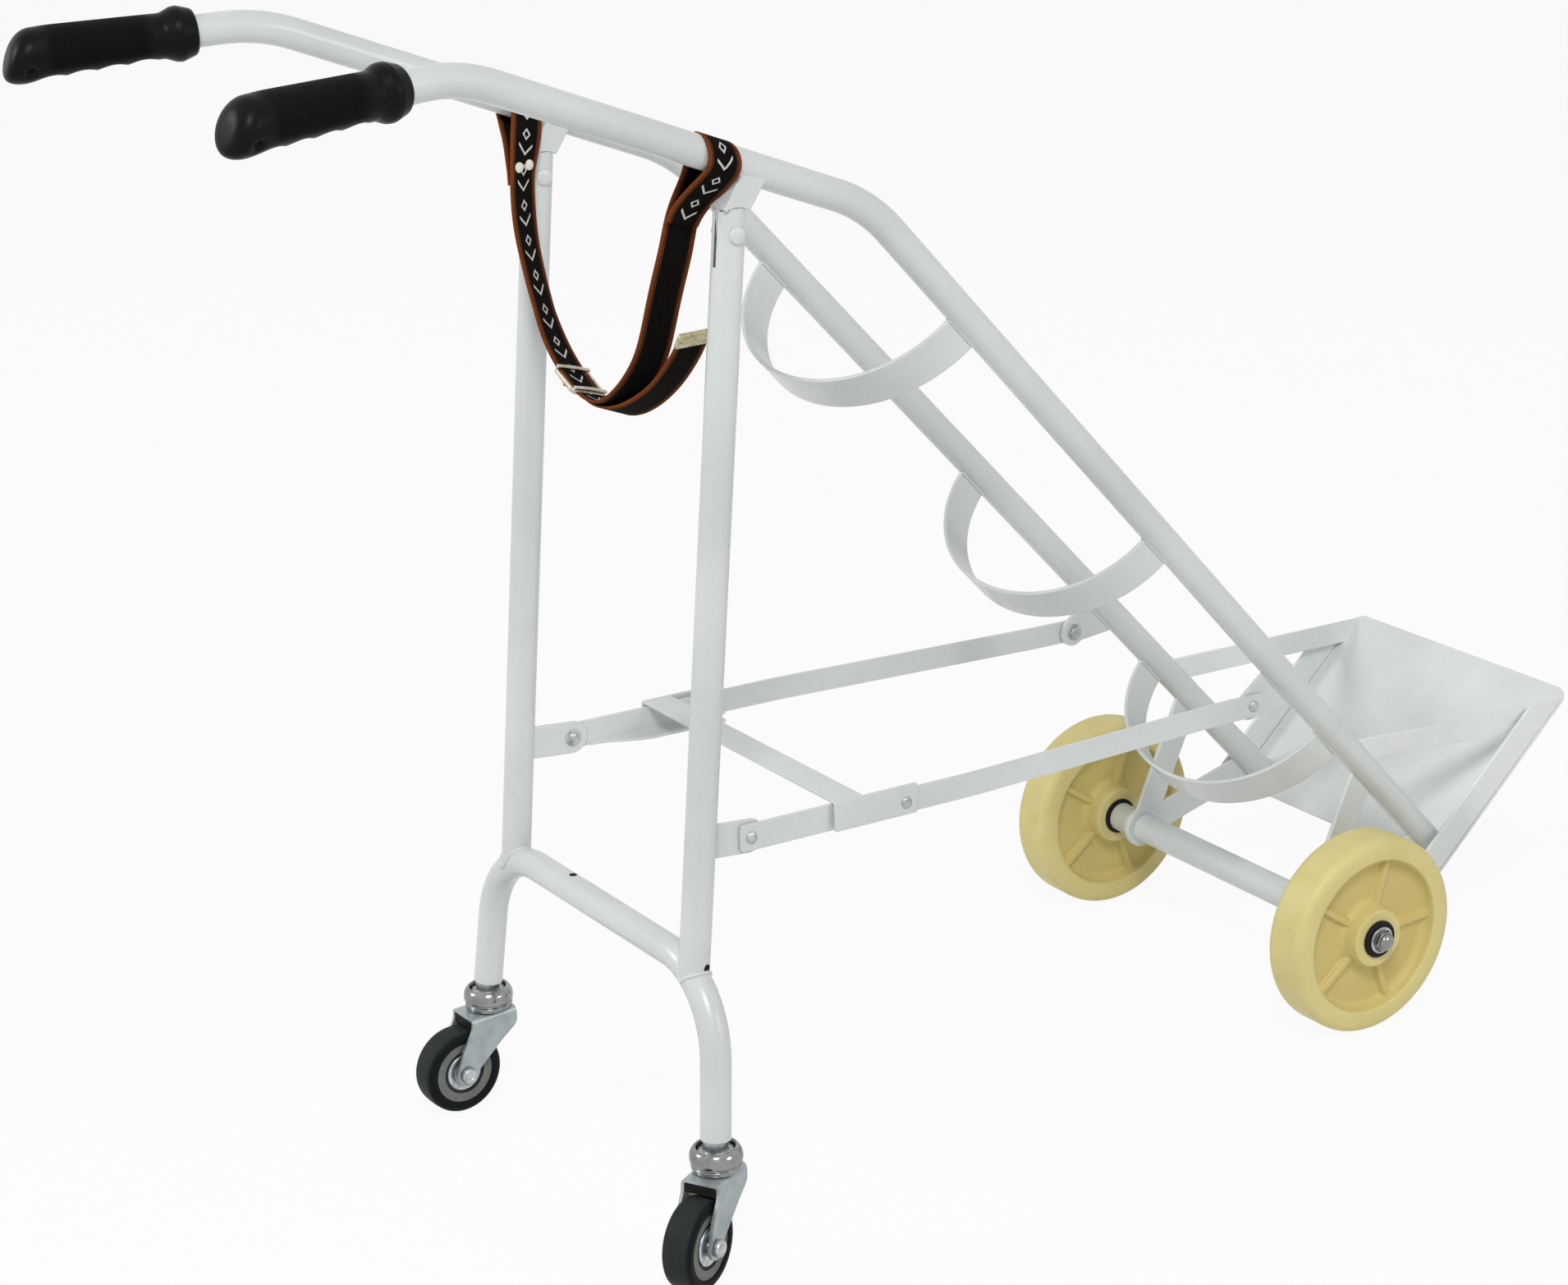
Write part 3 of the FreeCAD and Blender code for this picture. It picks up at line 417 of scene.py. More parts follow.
def plate(outline, low, high, edge=0.6, steps=3):
    """Flat plate between two Y levels, its outline in X and Z, with rounded rims.

    Each rim row is the outline moved inwards by edge (1 - sin f) and away from the face by
    edge (1 - cos f) for f from 0 to a right angle; one more row inside keeps the faces flat.
    """
    outline = np.asarray(outline, float)
    after = np.roll(outline, -1, 0)
    turned_left = np.sum(outline[:, 0] * after[:, 1] - after[:, 0] * outline[:, 1])
    outline = outline if turned_left > 0 else outline[::-1]
    ahead = unit(np.roll(outline, -1, 0) - outline)
    tangent = unit(ahead + np.roll(ahead, 1, 0))
    outward = np.stack([tangent[:, 1], -tangent[:, 0]], axis=1)
    sweep = np.linspace(0, math.pi / 2, steps + 1)
    inset = np.concatenate([[1.5 * edge], edge * (1 - np.sin(sweep))])
    depth = np.concatenate([[0], edge * (1 - np.cos(sweep))])
    inset = np.concatenate([inset, inset[::-1]])
    level = np.concatenate([high - depth, low + depth[::-1]])
    flat = outline[None] - inset[:, None, None] * outward[None]
    points = np.stack([flat[..., 0], np.broadcast_to(level[:, None], flat.shape[:2]), flat[..., 1]], axis=-1)
    rows, columns = points.shape[:2]
    return points.reshape(-1, 3), grid_quads(rows, columns), end_caps(rows, columns)


def turned(profile, origin, axis, around=48, spread=None, closed=False):
    """A profile of (radius, height) turned about an axis: origin + height axis + radius spoke.

    Spread, a number for each spoke, multiplies the radius. A closed profile makes a ring.
    """
    profile = np.asarray(profile, float)
    axis = unit(axis)
    side = unit(np.cross(axis, ACROSS_X if abs(axis[0]) < 0.9 else WORLD_Z))
    up = np.cross(axis, side)
    cosine, sine = spokes(around)
    spoke = cosine[:, None] * side + sine[:, None] * up
    radius = profile[:, :1] * (np.ones(around) if spread is None else spread)
    points = np.asarray(origin) + profile[:, 1, None, None] * axis + radius[..., None] * spoke[None]
    rows = len(profile)
    caps = [] if closed else end_caps(rows, around)
    return points.reshape(-1, 3), grid_quads(rows, around, wrap_rows=closed), caps


def dome(radius, height, skirt=0.6):
    """Profile of a rivet head: a short skirt, then a quarter ellipse to the crown."""
    lift = np.linspace(0, math.pi / 2, 9)
    crown = np.stack([np.maximum(radius * np.cos(lift), 0.05),
                      skirt + (height - skirt) * np.sin(lift)], axis=1)
    return np.concatenate([[[0.05, 0.0], [radius - 0.2, 0.0], [radius, 0.2]], crown])


def arc(centre, radius, start, stop, count):
    """Points of a circle about a centre, from one angle to another."""
    turn = np.linspace(start, stop, count)
    return np.asarray(centre) + radius * np.stack([np.cos(turn), np.sin(turn)], axis=1)


def both(*shapes):
    """Each far-side shape together with its mirror image."""
    return [on_side(shape, side) for shape in shapes for _, side in SIDES]


pivot = LEG_PIVOT[[0, 2]]
rail_at = SHOULDER * TO_MIDDLE
hollow = arc(pivot, SWING, math.acos(-BRACKET_HALF / SWING), math.acos(BRACKET_HALF / SWING), 5)
bracket_top = [(rail_at + UPPER_RUN * reach)[[0, 2]] for reach in (BRACKET_FROM, BRACKET_TO)]
bracket_outline = bent(np.concatenate([hollow, bracket_top]), BRACKET_CORNERS, turn=15, closed=True)
tongue_top = pivot + np.array([[TONGUE_HALF, SWING], [-TONGUE_HALF, SWING]])
tongue_outline = np.concatenate([arc(pivot, TONGUE_HALF, math.pi, 2 * math.pi, 17), tongue_top])
bracket = plate(bracket_outline, LEG_PIVOT[1] - BRACKET_HALF, LEG_PIVOT[1] + BRACKET_HALF, 0.8)
tongue = plate(tongue_outline, LEG_PIVOT[1] - TONGUE_HALF_THICK, LEG_PIVOT[1] + TONGUE_HALF_THICK)
painted_pair("bracket_block", [bracket, tongue], "leg_bracket")
pin_heads = [turned(dome(PIN_RADIUS, PIN_HEIGHT), LEG_PIVOT + WORLD_Y * level, WORLD_Y * level)
             for level in (RAIL_RADIUS, -RAIL_RADIUS)]
pin_rod = turned([(PIN_SHANK, -RAIL_RADIUS), (PIN_SHANK, RAIL_RADIUS)], LEG_PIVOT, WORLD_Y)
piece("leg_pin_heads", both(*pin_heads, pin_rod), "frame", paint, ["leg_pins"])


# Legs: straight tubes, slotted at the top for the tongues and saddled on the bridge. The bridge
# is one tube bent to an inverted U, with its ends splayed down to the casters. The saddles are
# welded round. One small drain hole is drilled at the near saddle and one in the bar.
LEG_LEAN = math.radians(7.0)
LEG_UP = np.array([math.sin(LEG_LEAN), 0.0, math.cos(LEG_LEAN)])
LEG_AHEAD = np.array([math.cos(LEG_LEAN), 0.0, -math.sin(LEG_LEAN)])
LEG_LENGTH = 511.0
SLOT_TURN = math.radians(15.0)
SLOT_BACK, SLOT_AHEAD = -22.0, -6.0
SADDLE_DROP = 8.4
BRIDGE_DROP = 122.0
BRIDGE_CORNER = 155.0
CASTER_HALF = 165.0
BRIDGE_BEND = 65.0
NECK = 7.0
WELD_RADIUS, WELD_STEP, WELD_RIPPLE, WELD_TILT = 1.5, 0.6, 2.4, 0.01
SADDLE_RADIUS = 11.2
HOLE_PROFILE = [(0.05, -0.6), (2.6, -0.6), (2.9, 0.1), (2.2, 0.25), (0.05, 0.05)]
HOLE_AHEAD, HOLE_ASIDE, HOLE_RISE = 0.342, 0.94, 1.0
BAR_HOLE_Y = 42.0
pivot_line = LEG_PIVOT * TO_MIDDLE


def from_leg(points):
    """Points in leg coordinates: X ahead of the leaning leg, Y across, Z up along it from the pivot."""
    points = np.atleast_2d(np.asarray(points, float))
    return pivot_line + points[:, :1] * LEG_AHEAD + points[:, 1:2] * WORLD_Y + points[:, 2:] * LEG_UP


def wall_strip(start, stop, low, top=None):
    """A strip of the leg's wall between two angles, from a level up to another or to an arc about the pin.

    Its lower and upper rows are the outer arc followed by the inner arc back; the arc's level is
    root(radius^2 - x^2).
    """
    count = round((stop - start) / math.radians(7.5)) + 1
    outer, inner = (arc((0, 0), radius, start, stop, count)
                    for radius in (RAIL_RADIUS, RAIL_RADIUS - RAIL_WALL))
    flat = np.concatenate([outer, inner[::-1]])
    high = np.sqrt(LEG_TOP_RADIUS ** 2 - flat[:, 0] ** 2) if top is None else np.full(len(flat), top)
    rows = [np.column_stack([flat[:, 0], flat[:, 1] + LEG_PIVOT[1], level])
            for level in (np.full(len(flat), low), high)]
    first, around = np.arange(count - 1), len(flat)
    ends = np.stack([first, first + 1, around - 2 - first, around - 1 - first], axis=1)
    quads = np.concatenate([grid_quads(2, around), ends[:, ::-1], ends + around])
    return from_leg(np.concatenate(rows)), quads, []


def carried(path, section, across, closed=False):
    """A section carried along a path: path + x side + y up, with flat caps where the path has ends.

    The section is one for the whole path, or one for each point of it.
    """
    side, up = along_path(path, across, closed)
    section = np.broadcast_to(section, (len(path),) + np.shape(section)[-2:])
    points = path[:, None] + section[..., :1] * side[:, None] + section[..., 1:] * up[:, None]
    rows, columns = points.shape[:2]
    caps = [] if closed else end_caps(rows, columns)
    return points.reshape(-1, 3), grid_quads(rows, columns, wrap_rows=closed), caps


def weld(path, closed=False, across=LEG_AHEAD):
    """A weld bead along a path: a small round section whose radius ripples as a sine of the way along."""
    path = respaced(np.concatenate([path, path[:1]]) if closed else path, WELD_STEP)
    path = path[:-1] if closed else path
    ripple = 1 + 0.1 * np.sin(np.arange(len(path)) * WELD_STEP * 2 * math.pi / WELD_RIPPLE)
    circle = np.stack(spokes(12), axis=1)
    return carried(path, WELD_RADIUS * ripple[:, None, None] * circle[None], across, closed)


def clouded(name, light, dark, scale, band, gloss, relief=None, detail=4.0, grain=None, fixed=None):
    """A finish in clouds of two display colours; the clouds, or a finer grain, also give its relief.

    Its roughness is the first number of gloss, plus the second times the clouds. Fixed holds its
    constant sockets.
    """
    def surface(root):
        cloud = root.noise(scale, detail)
        tone = cloud.ramp(*band).blend(light, dark)
        sockets = {"Base Color": tone, "Roughness": gloss[0] + gloss[1] * cloud, **(fixed or {})}
        if relief:
            sockets["Normal"] = root.bump(root.noise(*grain) if grain else cloud, *relief)
        return sockets

    return finish(name, surface)


leg_line = from_leg([(0, LEG_PIVOT[1], -LEG_LENGTH - SADDLE_DROP), (0, LEG_PIVOT[1], SLOT_BACK)])
leg_shapes = [tube(leg_line, RAIL_RADIUS, RAIL_WALL, LEG_AHEAD),
              wall_strip(SLOT_TURN, math.pi - SLOT_TURN, SLOT_BACK),
              wall_strip(math.pi + SLOT_TURN, 2 * math.pi - SLOT_TURN, SLOT_BACK),
              wall_strip(-SLOT_TURN, SLOT_TURN, SLOT_BACK, SLOT_AHEAD)]
painted_pair("leg_tube", leg_shapes, "leg", "leg_frame")
tube_end = LEG_LENGTH + BRIDGE_DROP - NECK
tube_half = CASTER_HALF - NECK * (CASTER_HALF - BRIDGE_CORNER) / BRIDGE_DROP
bridge_corners = from_leg([(0, -tube_half, -tube_end), (0, -BRIDGE_CORNER, -LEG_LENGTH),
                           (0, BRIDGE_CORNER, -LEG_LENGTH), (0, tube_half, -tube_end)])
bridge = tube(bent(bridge_corners, BRIDGE_BEND, turn=3.0), RAIL_RADIUS, RAIL_WALL, LEG_AHEAD)
painted("bridge_tube", [bridge], ["bridge"], "leg_frame")
bend_angle = math.atan2(BRIDGE_DROP, CASTER_HALF - BRIDGE_CORNER)
bend_start = BRIDGE_CORNER - BRIDGE_BEND * math.tan(0.5 * bend_angle)
saddle_x, saddle_y = SADDLE_RADIUS * np.stack(spokes(96))
saddle_y = LEG_PIVOT[1] + saddle_y
bend_sine = np.clip((saddle_y - bend_start) / BRIDGE_BEND, 0, 0.99)
bend_cosine = np.sqrt(1 - bend_sine ** 2)
saddle_rise = np.sqrt(np.clip(RAIL_RADIUS ** 2 - saddle_x ** 2, 0, None)) / bend_cosine
saddle_z = -LEG_LENGTH - BRIDGE_BEND * (1 - bend_cosine) + saddle_rise
saddle_path = from_leg(np.stack([saddle_x, saddle_y, saddle_z], axis=1))
saddle_weld = weld(saddle_path, closed=True, across=LEG_UP + WELD_TILT * WORLD_Y)
painted("saddle_welds", both(saddle_weld), body="leg_frame")

# The holes are dark discs: near black as painted shade of the holes' insides, clouded rusty brown where the
# steel is bare.
hole_shade_and_rust = clouded("rusty_hole_shade", (20, 19, 18), (58, 46, 38), 800.0, (0.4, 0.7), (0.7, 0.2), detail=3.0,
                    fixed={"Specular IOR Level": 0.1})
leg_hole = from_leg([(RAIL_RADIUS * HOLE_AHEAD, -LEG_PIVOT[1] - RAIL_RADIUS * HOLE_ASIDE,
                      -LEG_LENGTH + HOLE_RISE)])
bar_hole = from_leg([(0, BAR_HOLE_Y, -LEG_LENGTH + RAIL_RADIUS)])
holes = [turned(HOLE_PROFILE, leg_hole[0], LEG_AHEAD * HOLE_AHEAD - WORLD_Y * HOLE_ASIDE, 24),
         turned(HOLE_PROFILE, bar_hole[0], LEG_UP, 24)]
piece("drain_holes", holes, "leg_frame", hole_shade_and_rust)


# Leg tabs and short stays: flat steel tabs welded beside the legs, each with an angle strip that
# turns on a zinc rivet. The strip's lower edge is folded inwards as a stop for the lock bar.
STAY_B = np.array([-217.628, 0.0, 294.297])
STAY_D = np.array([245.865, 0.0, 270.819])
STAY_LENGTH = float(np.linalg.norm(STAY_D - STAY_B))
STAY_DIR = unit(STAY_D - STAY_B)
STAY_UP = np.array([-STAY_DIR[2], 0.0, STAY_DIR[0]])
TAB_BACK, TAB_REACH = 3.0, 42.5
TAB_DROP = 423.5
TAB_HALF = 12.5
TAB_Y, SHORT_Y, LONG_Y, LOCK_Y = 121.0, 124.0, 127.0, 129.5
SHEET = 2.5
SHORT_LENGTH = 127.3
SHORT_END = 137.3
SHORT_BACK = 9.0
SHORT_HALF = 10.0
FLANGE_FROM, FLANGE_TO, FLANGE_TAPER = 16.0, 127.3, 50.0
FLANGE_NARROW, FLANGE_WIDTH = 3.0, 17.0
RIVET_RADIUS = 4.2
RIVET_HEIGHT = 1.8
RIVET_TAIL = 2.6
FACE_GAP = 0.05


def slab(x_low, z_low, x_high, z_high, corners=1.0, turn=10.0, guard=0.0):
    """Outline of a rectangle with rounded corners, anticlockwise from the low corner."""
    points = [(x_low, z_low), (x_high, z_low), (x_high, z_high), (x_low, z_high)]
    return bent(points, corners, turn, True, guard)


def flat_section(width, thick, edge):
    """Section of a flat bar with rounded edges: width along its side vector, thick along up."""
    return slab(-width / 2, -thick / 2, width / 2, thick / 2, edge, 30.0, 0.3 * edge)


def widened(section, widths):
    """A section for each point of a path, its width multiplied by that point's number."""
    return section[None] * np.stack([widths, np.ones_like(widths)], axis=1)[:, None]


def on_stay(shape):
    """A shape in stay coordinates, X along the stay from the leg tab and Z up, in its place."""
    return placed(shape, STAY_B, STAY_DIR, STAY_UP)


def fastener(name, shapes, nodes=(), body="frame"):
    """A piece of bright zinc."""
    piece(name, shapes, body, zinc, nodes)


zinc = clouded("zinc_fastener", (196, 199, 200), (150, 154, 157), 160.0, (0.35, 0.7), (0.26, 0.2),
               (0.05, 0.4), grain=(1400.0, 2.0), fixed={"Metallic": 0.9})
tab_outline = slab(TAB_BACK, -TAB_DROP - TAB_HALF, TAB_REACH + TAB_HALF, -TAB_DROP + TAB_HALF,
                   [1, 12.4, 12.4, 1])
leg_tab = placed(plate(tab_outline, TAB_Y, TAB_Y + SHEET), pivot_line, LEG_AHEAD, LEG_UP)
web = plate(slab(-SHORT_BACK, -SHORT_HALF, SHORT_END, SHORT_HALF, [3, 1.5, 1.5, 3]), SHORT_Y, SHORT_Y + SHEET)
flange_x = np.linspace(FLANGE_FROM, FLANGE_TO, 40)
flange_grow = np.clip((flange_x - FLANGE_FROM) / FLANGE_TAPER, 0, 1)
flange_grow = flange_grow ** 2 * (3 - 2 * flange_grow)
flange_width = FLANGE_NARROW + (FLANGE_WIDTH - FLANGE_NARROW) * flange_grow
flange_path = np.stack([flange_x, SHORT_Y + SHEET / 2 - flange_width / 2,
                        np.full_like(flange_x, -SHORT_HALF + SHEET / 2)], axis=1)
flange = carried(flange_path, widened(flat_section(1.0, SHEET - 0.2, 0.04), flange_width), WORLD_Y)
short_stay = [on_stay(web), on_stay(flange)]
rivet_head = dome(RIVET_RADIUS, RIVET_HEIGHT)
rivet_ring = slab(3.0, 0, 6.6, 0.9, 0.3, 30)
for word, side in SIDES:
    painted(f"leg_tab_plate_{word}", [on_side(leg_tab, side)], [f"leg_tab_{word}"], "leg_frame")
    stay = f"short_stay_{word}"
    painted(f"short_stay_angle_{word}", [on_side(shape, side) for shape in short_stay], [stay], stay)
rivet_face = STAY_B + WORLD_Y * (SHORT_Y + SHEET + FACE_GAP)
rivet_back = STAY_B + WORLD_Y * TAB_Y
rivet_shapes = [turned(rivet_head, rivet_face, WORLD_Y),
                turned(dome(RIVET_RADIUS, RIVET_TAIL), rivet_back, -WORLD_Y),
                turned(rivet_ring, rivet_back, -WORLD_Y, closed=True)]
fastener("stay_rivet_heads", both(*rivet_shapes), ["stay_rivets"], "leg_frame")


# Long stays and lock bar: flat bars joggled in to the rail tabs. A cross strip with bent-down end
# plates is riveted over the middle joints, and holds both stays straight when it is pressed down.
LONG_HALF = 9.0
LONG_BEYOND = 10.3
LONG_START = SHORT_LENGTH - 9.0
JOGGLE_FROM = SHORT_LENGTH + 60.0
JOGGLE_TO = STAY_LENGTH - 32.0
LONG_RAIL_Y = 112.08
PLATE_FROM, PLATE_TO = 66.3, 137.3
PLATE_LOW, PLATE_HIGH = -9.5, 13.3
STRIP_WIDTH = 25.0
STRIP_LOW = 2.0
STRIP_BEND = 2.2

long_x = np.concatenate([LONG_START + np.array([0, 0.4, 1.2, 3.0]),
                         np.linspace(JOGGLE_FROM - 6, JOGGLE_TO + 6, 24),
                         STAY_LENGTH + LONG_BEYOND - np.array([3.0, 1.6, 0.7, 0.2, 0.0])])
long_y = np.interp(long_x, [JOGGLE_FROM, JOGGLE_TO], [LONG_Y, LONG_RAIL_Y]) + SHEET / 2
long_half = np.full_like(long_x, LONG_HALF)
long_half[:3] -= np.array([1.2, 0.5, 0.1])
long_half[-4:] -= np.array([0.2, 0.8, 1.7, 3.0])
long_path = np.stack([long_x, long_y, np.zeros_like(long_x)], axis=1)
long_stay = on_stay(carried(long_path, widened(flat_section(2.0, SHEET, 0.05), long_half), WORLD_Z))
lock_outline = slab(PLATE_FROM, PLATE_LOW, PLATE_TO, PLATE_HIGH - 0.3, 2.0)
lock_plate = on_stay(plate(lock_outline, LOCK_Y, LOCK_Y + SHEET))
strip_x = PLATE_FROM + STRIP_WIDTH / 2
strip_z = PLATE_HIGH - SHEET / 2
strip_end = LOCK_Y + SHEET / 2 - 0.1
strip_path = bent([(strip_x, -strip_end, STRIP_LOW), (strip_x, -strip_end, strip_z),
                   (strip_x, strip_end, strip_z), (strip_x, strip_end, STRIP_LOW)],
                  STRIP_BEND, turn=15.0, guard=0.4)
strip = on_stay(carried(strip_path, flat_section(STRIP_WIDTH - 0.4, SHEET - 0.1, 0.6), ACROSS_X))
lock_spot = STAY_B + STAY_DIR * SHORT_LENGTH + WORLD_Y * (LOCK_Y + SHEET)
painted_pair("long_stay_bar", [long_stay], "long_stay", "stay_frame")
painted("lock_bar_strip", [strip] + both(lock_plate), ["lock_bar"], "stay_frame")
fastener("lock_pin_heads", both(turned(rivet_head, lock_spot, WORLD_Y)), ["lock_pins"], "stay_frame")


# Rail tabs: plates welded under the rails that carry the long stays, each with a bolt, a washer
# and a nut through its eye.
RAIL_DIR = unit((SHOULDER - FOOT) * TO_MIDDLE)
RAIL_OUT = np.array([RAIL_DIR[2], 0.0, -RAIL_DIR[0]])
RAIL_LENGTH = float(np.linalg.norm((SHOULDER - FOOT)[[0, 2]]))
TAB_PIVOT = (-35.2, 261.5)
TAB_EYE = 12.0
TAB_ROOT = [(-4.0, 225.0), (-4.0, 270.5)]
RAIL_TAB_Y = 108.58
RAIL_TAB_THICK = 3.0
WASHER = (3.1, 0, 6.6, 1.2)
NUT = [(0.05, 1.2), (4.8, 1.2), (5.1, 1.6), (5.1, 3.0), (4.5, 3.2), (0.05, 3.2)]
foot_line = FOOT * TO_MIDDLE


def on_rail(shape):
    """A shape in rail coordinates, X square to the rail towards the load and Z up along it, in its place."""
    return placed(shape, foot_line, RAIL_OUT, RAIL_DIR)


tab_eye = arc(TAB_PIVOT, TAB_EYE, 0.5 * math.pi, 1.5 * math.pi, 19)
rail_tab = plate(np.concatenate([tab_eye, TAB_ROOT]), RAIL_TAB_Y, RAIL_TAB_Y + RAIL_TAB_THICK)
bolt_out = STAY_D + WORLD_Y * (LONG_RAIL_Y + SHEET + FACE_GAP)
bolt_in = STAY_D + WORLD_Y * RAIL_TAB_Y
six = np.linspace(0, 2 * math.pi, 48, endpoint=False)
hexagon = math.cos(math.pi / 6) / np.cos((six + math.pi / 6) % (math.pi / 3) - math.pi / 6)
bolt_shapes = [turned(rivet_head, bolt_out, WORLD_Y),
               turned(slab(*WASHER, 0.3, 30), bolt_in, -WORLD_Y, closed=True),
               turned(bent(NUT, [0, 0.2, 0.1, 0.2, 0.1, 0]), bolt_in, -WORLD_Y, spread=hexagon)]
painted_pair("rail_tab_plate", [on_rail(rail_tab)], "rail_tab")
fastener("stay_bolt_sets", both(*bolt_shapes), ["stay_bolts"])


# Cradles: three flat bands rolled to half an ellipse and welded between the backs of the rails,
# where the gas cylinder lies. The rails' welds, to bands, tabs and tray, are one more piece.
CRADLE_WIDTH = 30.0
CRADLE_THICK = 3.0
CRADLE_DEPTH = 90.0
CRADLES = (("low", 170.7), ("middle", 433.7), ("top", 696.7))
FOOT_WELD_RADIUS, FOOT_WELD_LEVEL = 11.6, 0.5
BAND_MEETS, BAND_WELD, BAND_WELD_OFF = 10.4, -10.5, 1.9
TAB_WELD, TAB_WELD_LOW, TAB_WELD_HIGH = -10.8, 232.0, 267.0


def rail_half_at(height):
    """Half the rails' spacing at a height along them above the tray."""
    return FOOT[1] + (SHOULDER[1] - FOOT[1]) * height / RAIL_LENGTH


def seam(x, y, low, high):
    """A straight weld bead along the rail."""
    return on_rail(weld(np.array([(x, y, low), (x, y, high)]), across=WORLD_Y))


foot_x, foot_y = FOOT_WELD_RADIUS * np.stack(spokes(72))
foot_ring = np.stack([foot_x, FOOT[1] + foot_y, np.full(72, FOOT_WELD_LEVEL)], axis=1)
rail_welds = [on_rail(weld(foot_ring, closed=True, across=WORLD_Z + WELD_TILT * WORLD_Y))]
sweep = np.linspace(-math.pi / 2, math.pi / 2, 73)
for word, height in CRADLES:
    half = rail_half_at(height)
    band_path = np.stack([-CRADLE_DEPTH * np.cos(sweep), half * np.sin(sweep),
                          np.full_like(sweep, height)], axis=1)
    band = on_rail(carried(band_path, flat_section(CRADLE_WIDTH, CRADLE_THICK, 0.8), WORLD_Z))
    painted(f"cradle_band_{word}", [band], [f"cradle_{word}"])
    band_y = half * math.sqrt(1 - (BAND_MEETS / CRADLE_DEPTH) ** 2)
    rail_welds += [seam(BAND_WELD, band_y + off, height - CRADLE_WIDTH / 2 + 1, height + CRADLE_WIDTH / 2 - 1)
                   for off in (-BAND_WELD_OFF, BAND_WELD_OFF)]
rail_welds += [seam(TAB_WELD, y, TAB_WELD_LOW, TAB_WELD_HIGH)
               for y in (RAIL_TAB_Y, RAIL_TAB_Y + RAIL_TAB_THICK)]
painted("rail_welds", both(*rail_welds))


# Tray: a steel plate across the rail feet, with a flat bar set on edge along each side and two flat
# braces up to the rails. Its paint is the frame's powder made lighter, as painted light against the shade
# that rails and cradles cast on it, with rubs and scratches where cylinders are set down.
TRAY_BACK, TRAY_FRONT, TRAY_HALF, TRAY_THICK = -17.0, 168.0, 126.5, 2.5
TRAY_CORNER = 12.0
RIM_HEIGHT, RIM_THICK, RIM_FRONT = 25.0, 3.0, 160.0
BRACE_WIDTH, BRACE_THICK, BRACE_TRAY_Y = 20.0, 3.0, 120.5
BRACES = {"far": (140.0, 164.0), "near": (131.0, 154.0)}
SUNK = -0.4
# Lighter than the frame's paint: painted light for the tray, which lies in the rails' shade.
TRAY_LIT_PAINT = (236, 240, 239)


def lying(shape):
    """A plate made in X and Z laid flat in X and Y: its Z becomes Y, its Y becomes minus Z."""
    points, quads, caps = shape
    return np.stack([points[:, 0], points[:, 2], -points[:, 1]], axis=1), quads, caps


def scuffed_lit_paint(root):
    """The same powder made lighter as painted light, with broad grey rubs and short scratches from steel
    cylinders.
    """
    cloud = root.noise(7.0, 4.0)
    peel = root.noise(520.0, 1.5)
    rub = root.noise(11.0, 5.0).ramp(0.42, 0.68)
    scratch = root.noise(60.0, 8.0).ramp(0.64, 0.74)
    tone = cloud.ramp(0.35, 0.7).blend(TRAY_LIT_PAINT, PAINT)
    tone = (rub * 0.3).blend(tone, PAINT_CLOUD)
    tone = (scratch * 0.12).blend(tone, PAINT_GRIME)
    return {"Base Color": tone, "Roughness": 0.34 + cloud * 0.1 + rub * 0.12,
            "Normal": root.bump(peel, 0.12, 0.35), "Specular IOR Level": 0.5}


def brace_bar(height, front):
    """Flat bar: its lower edge leaves the rail at a height, its upper edge meets the tray at a reach."""
    start = rail_half_at(height)
    lean = unit([front, BRACE_TRAY_Y - start, 0])
    rise = BRACE_WIDTH * math.hypot(height, front) / front
    back = front * height / (height + rise)
    outline = np.array([(0, height), (back, SUNK), (front, SUNK), (0, height + rise)]) / [lean[0], 1]
    bar = plate(bent(outline, 0.8, turn=15, closed=True), 0, BRACE_THICK, 0.5)
    return placed(bar, (0, start, 0), lean, WORLD_Z)


tray_paint = finish("scuffed_lit_powder_coat", scuffed_lit_paint)
tray_outline = slab(TRAY_BACK, -TRAY_HALF, TRAY_FRONT, TRAY_HALF, [2, TRAY_CORNER, TRAY_CORNER, 2])
tray = plate(tray_outline, 0, TRAY_THICK)
piece("tray_sheet", [on_rail(lying(tray))], "frame", tray_paint, ["tray_plate"])
rim_outline = bent([(TRAY_BACK, SUNK), (RIM_FRONT, SUNK), (RIM_FRONT - RIM_HEIGHT, RIM_HEIGHT),
                    (TRAY_BACK, RIM_HEIGHT)], [0.8, 1.2, 4.0, 2.0], turn=15, closed=True)
rim = plate(rim_outline, TRAY_HALF - RIM_THICK, TRAY_HALF, 0.9)
for word, side in SIDES:
    for part, bar in (("rim", rim), ("brace", brace_bar(*BRACES[word]))):
        piece(f"tray_{part}_bar_{word}", [on_side(on_rail(bar), side)], "frame", tray_paint,
              [f"tray_{part}_{word}"])


# Axle group: two flat bars on each side meet round a cross tube. A plain steel axle runs through
# the tube, with a zinc washer and a chromed domed nut outside each wheel.
AXLE = np.array([313.0, 0.0, 80.0])
AXLE_RADIUS = 6.0
AXLE_TUBE_RADIUS, AXLE_TUBE_WALL = 12.0, 5.9
AXLE_TUBE_HALF = 136.2
BAR_WIDTH, BAR_THICK = 24.0, 4.0
HANGER_HEIGHT, STRUT_HEIGHT = 120.0, 15.0
EYE_BORE, EYE_RADIUS = 11.8, 17.0
WASHER_FACE = 185.8
WASHER_THICK = 1.5
WASHER_BORE, WASHER_RADIUS = 6.1, 10.8
AXLE_NUT = [(0.05, 0.0), (8.3, 0.0), (9.0, 0.7), (9.0, 4.0), (7.2, 4.6)]
NUT_CROWN_RADIUS, NUT_CROWN_FROM, NUT_CROWN_RISE = 6.9, 4.7, 4.3

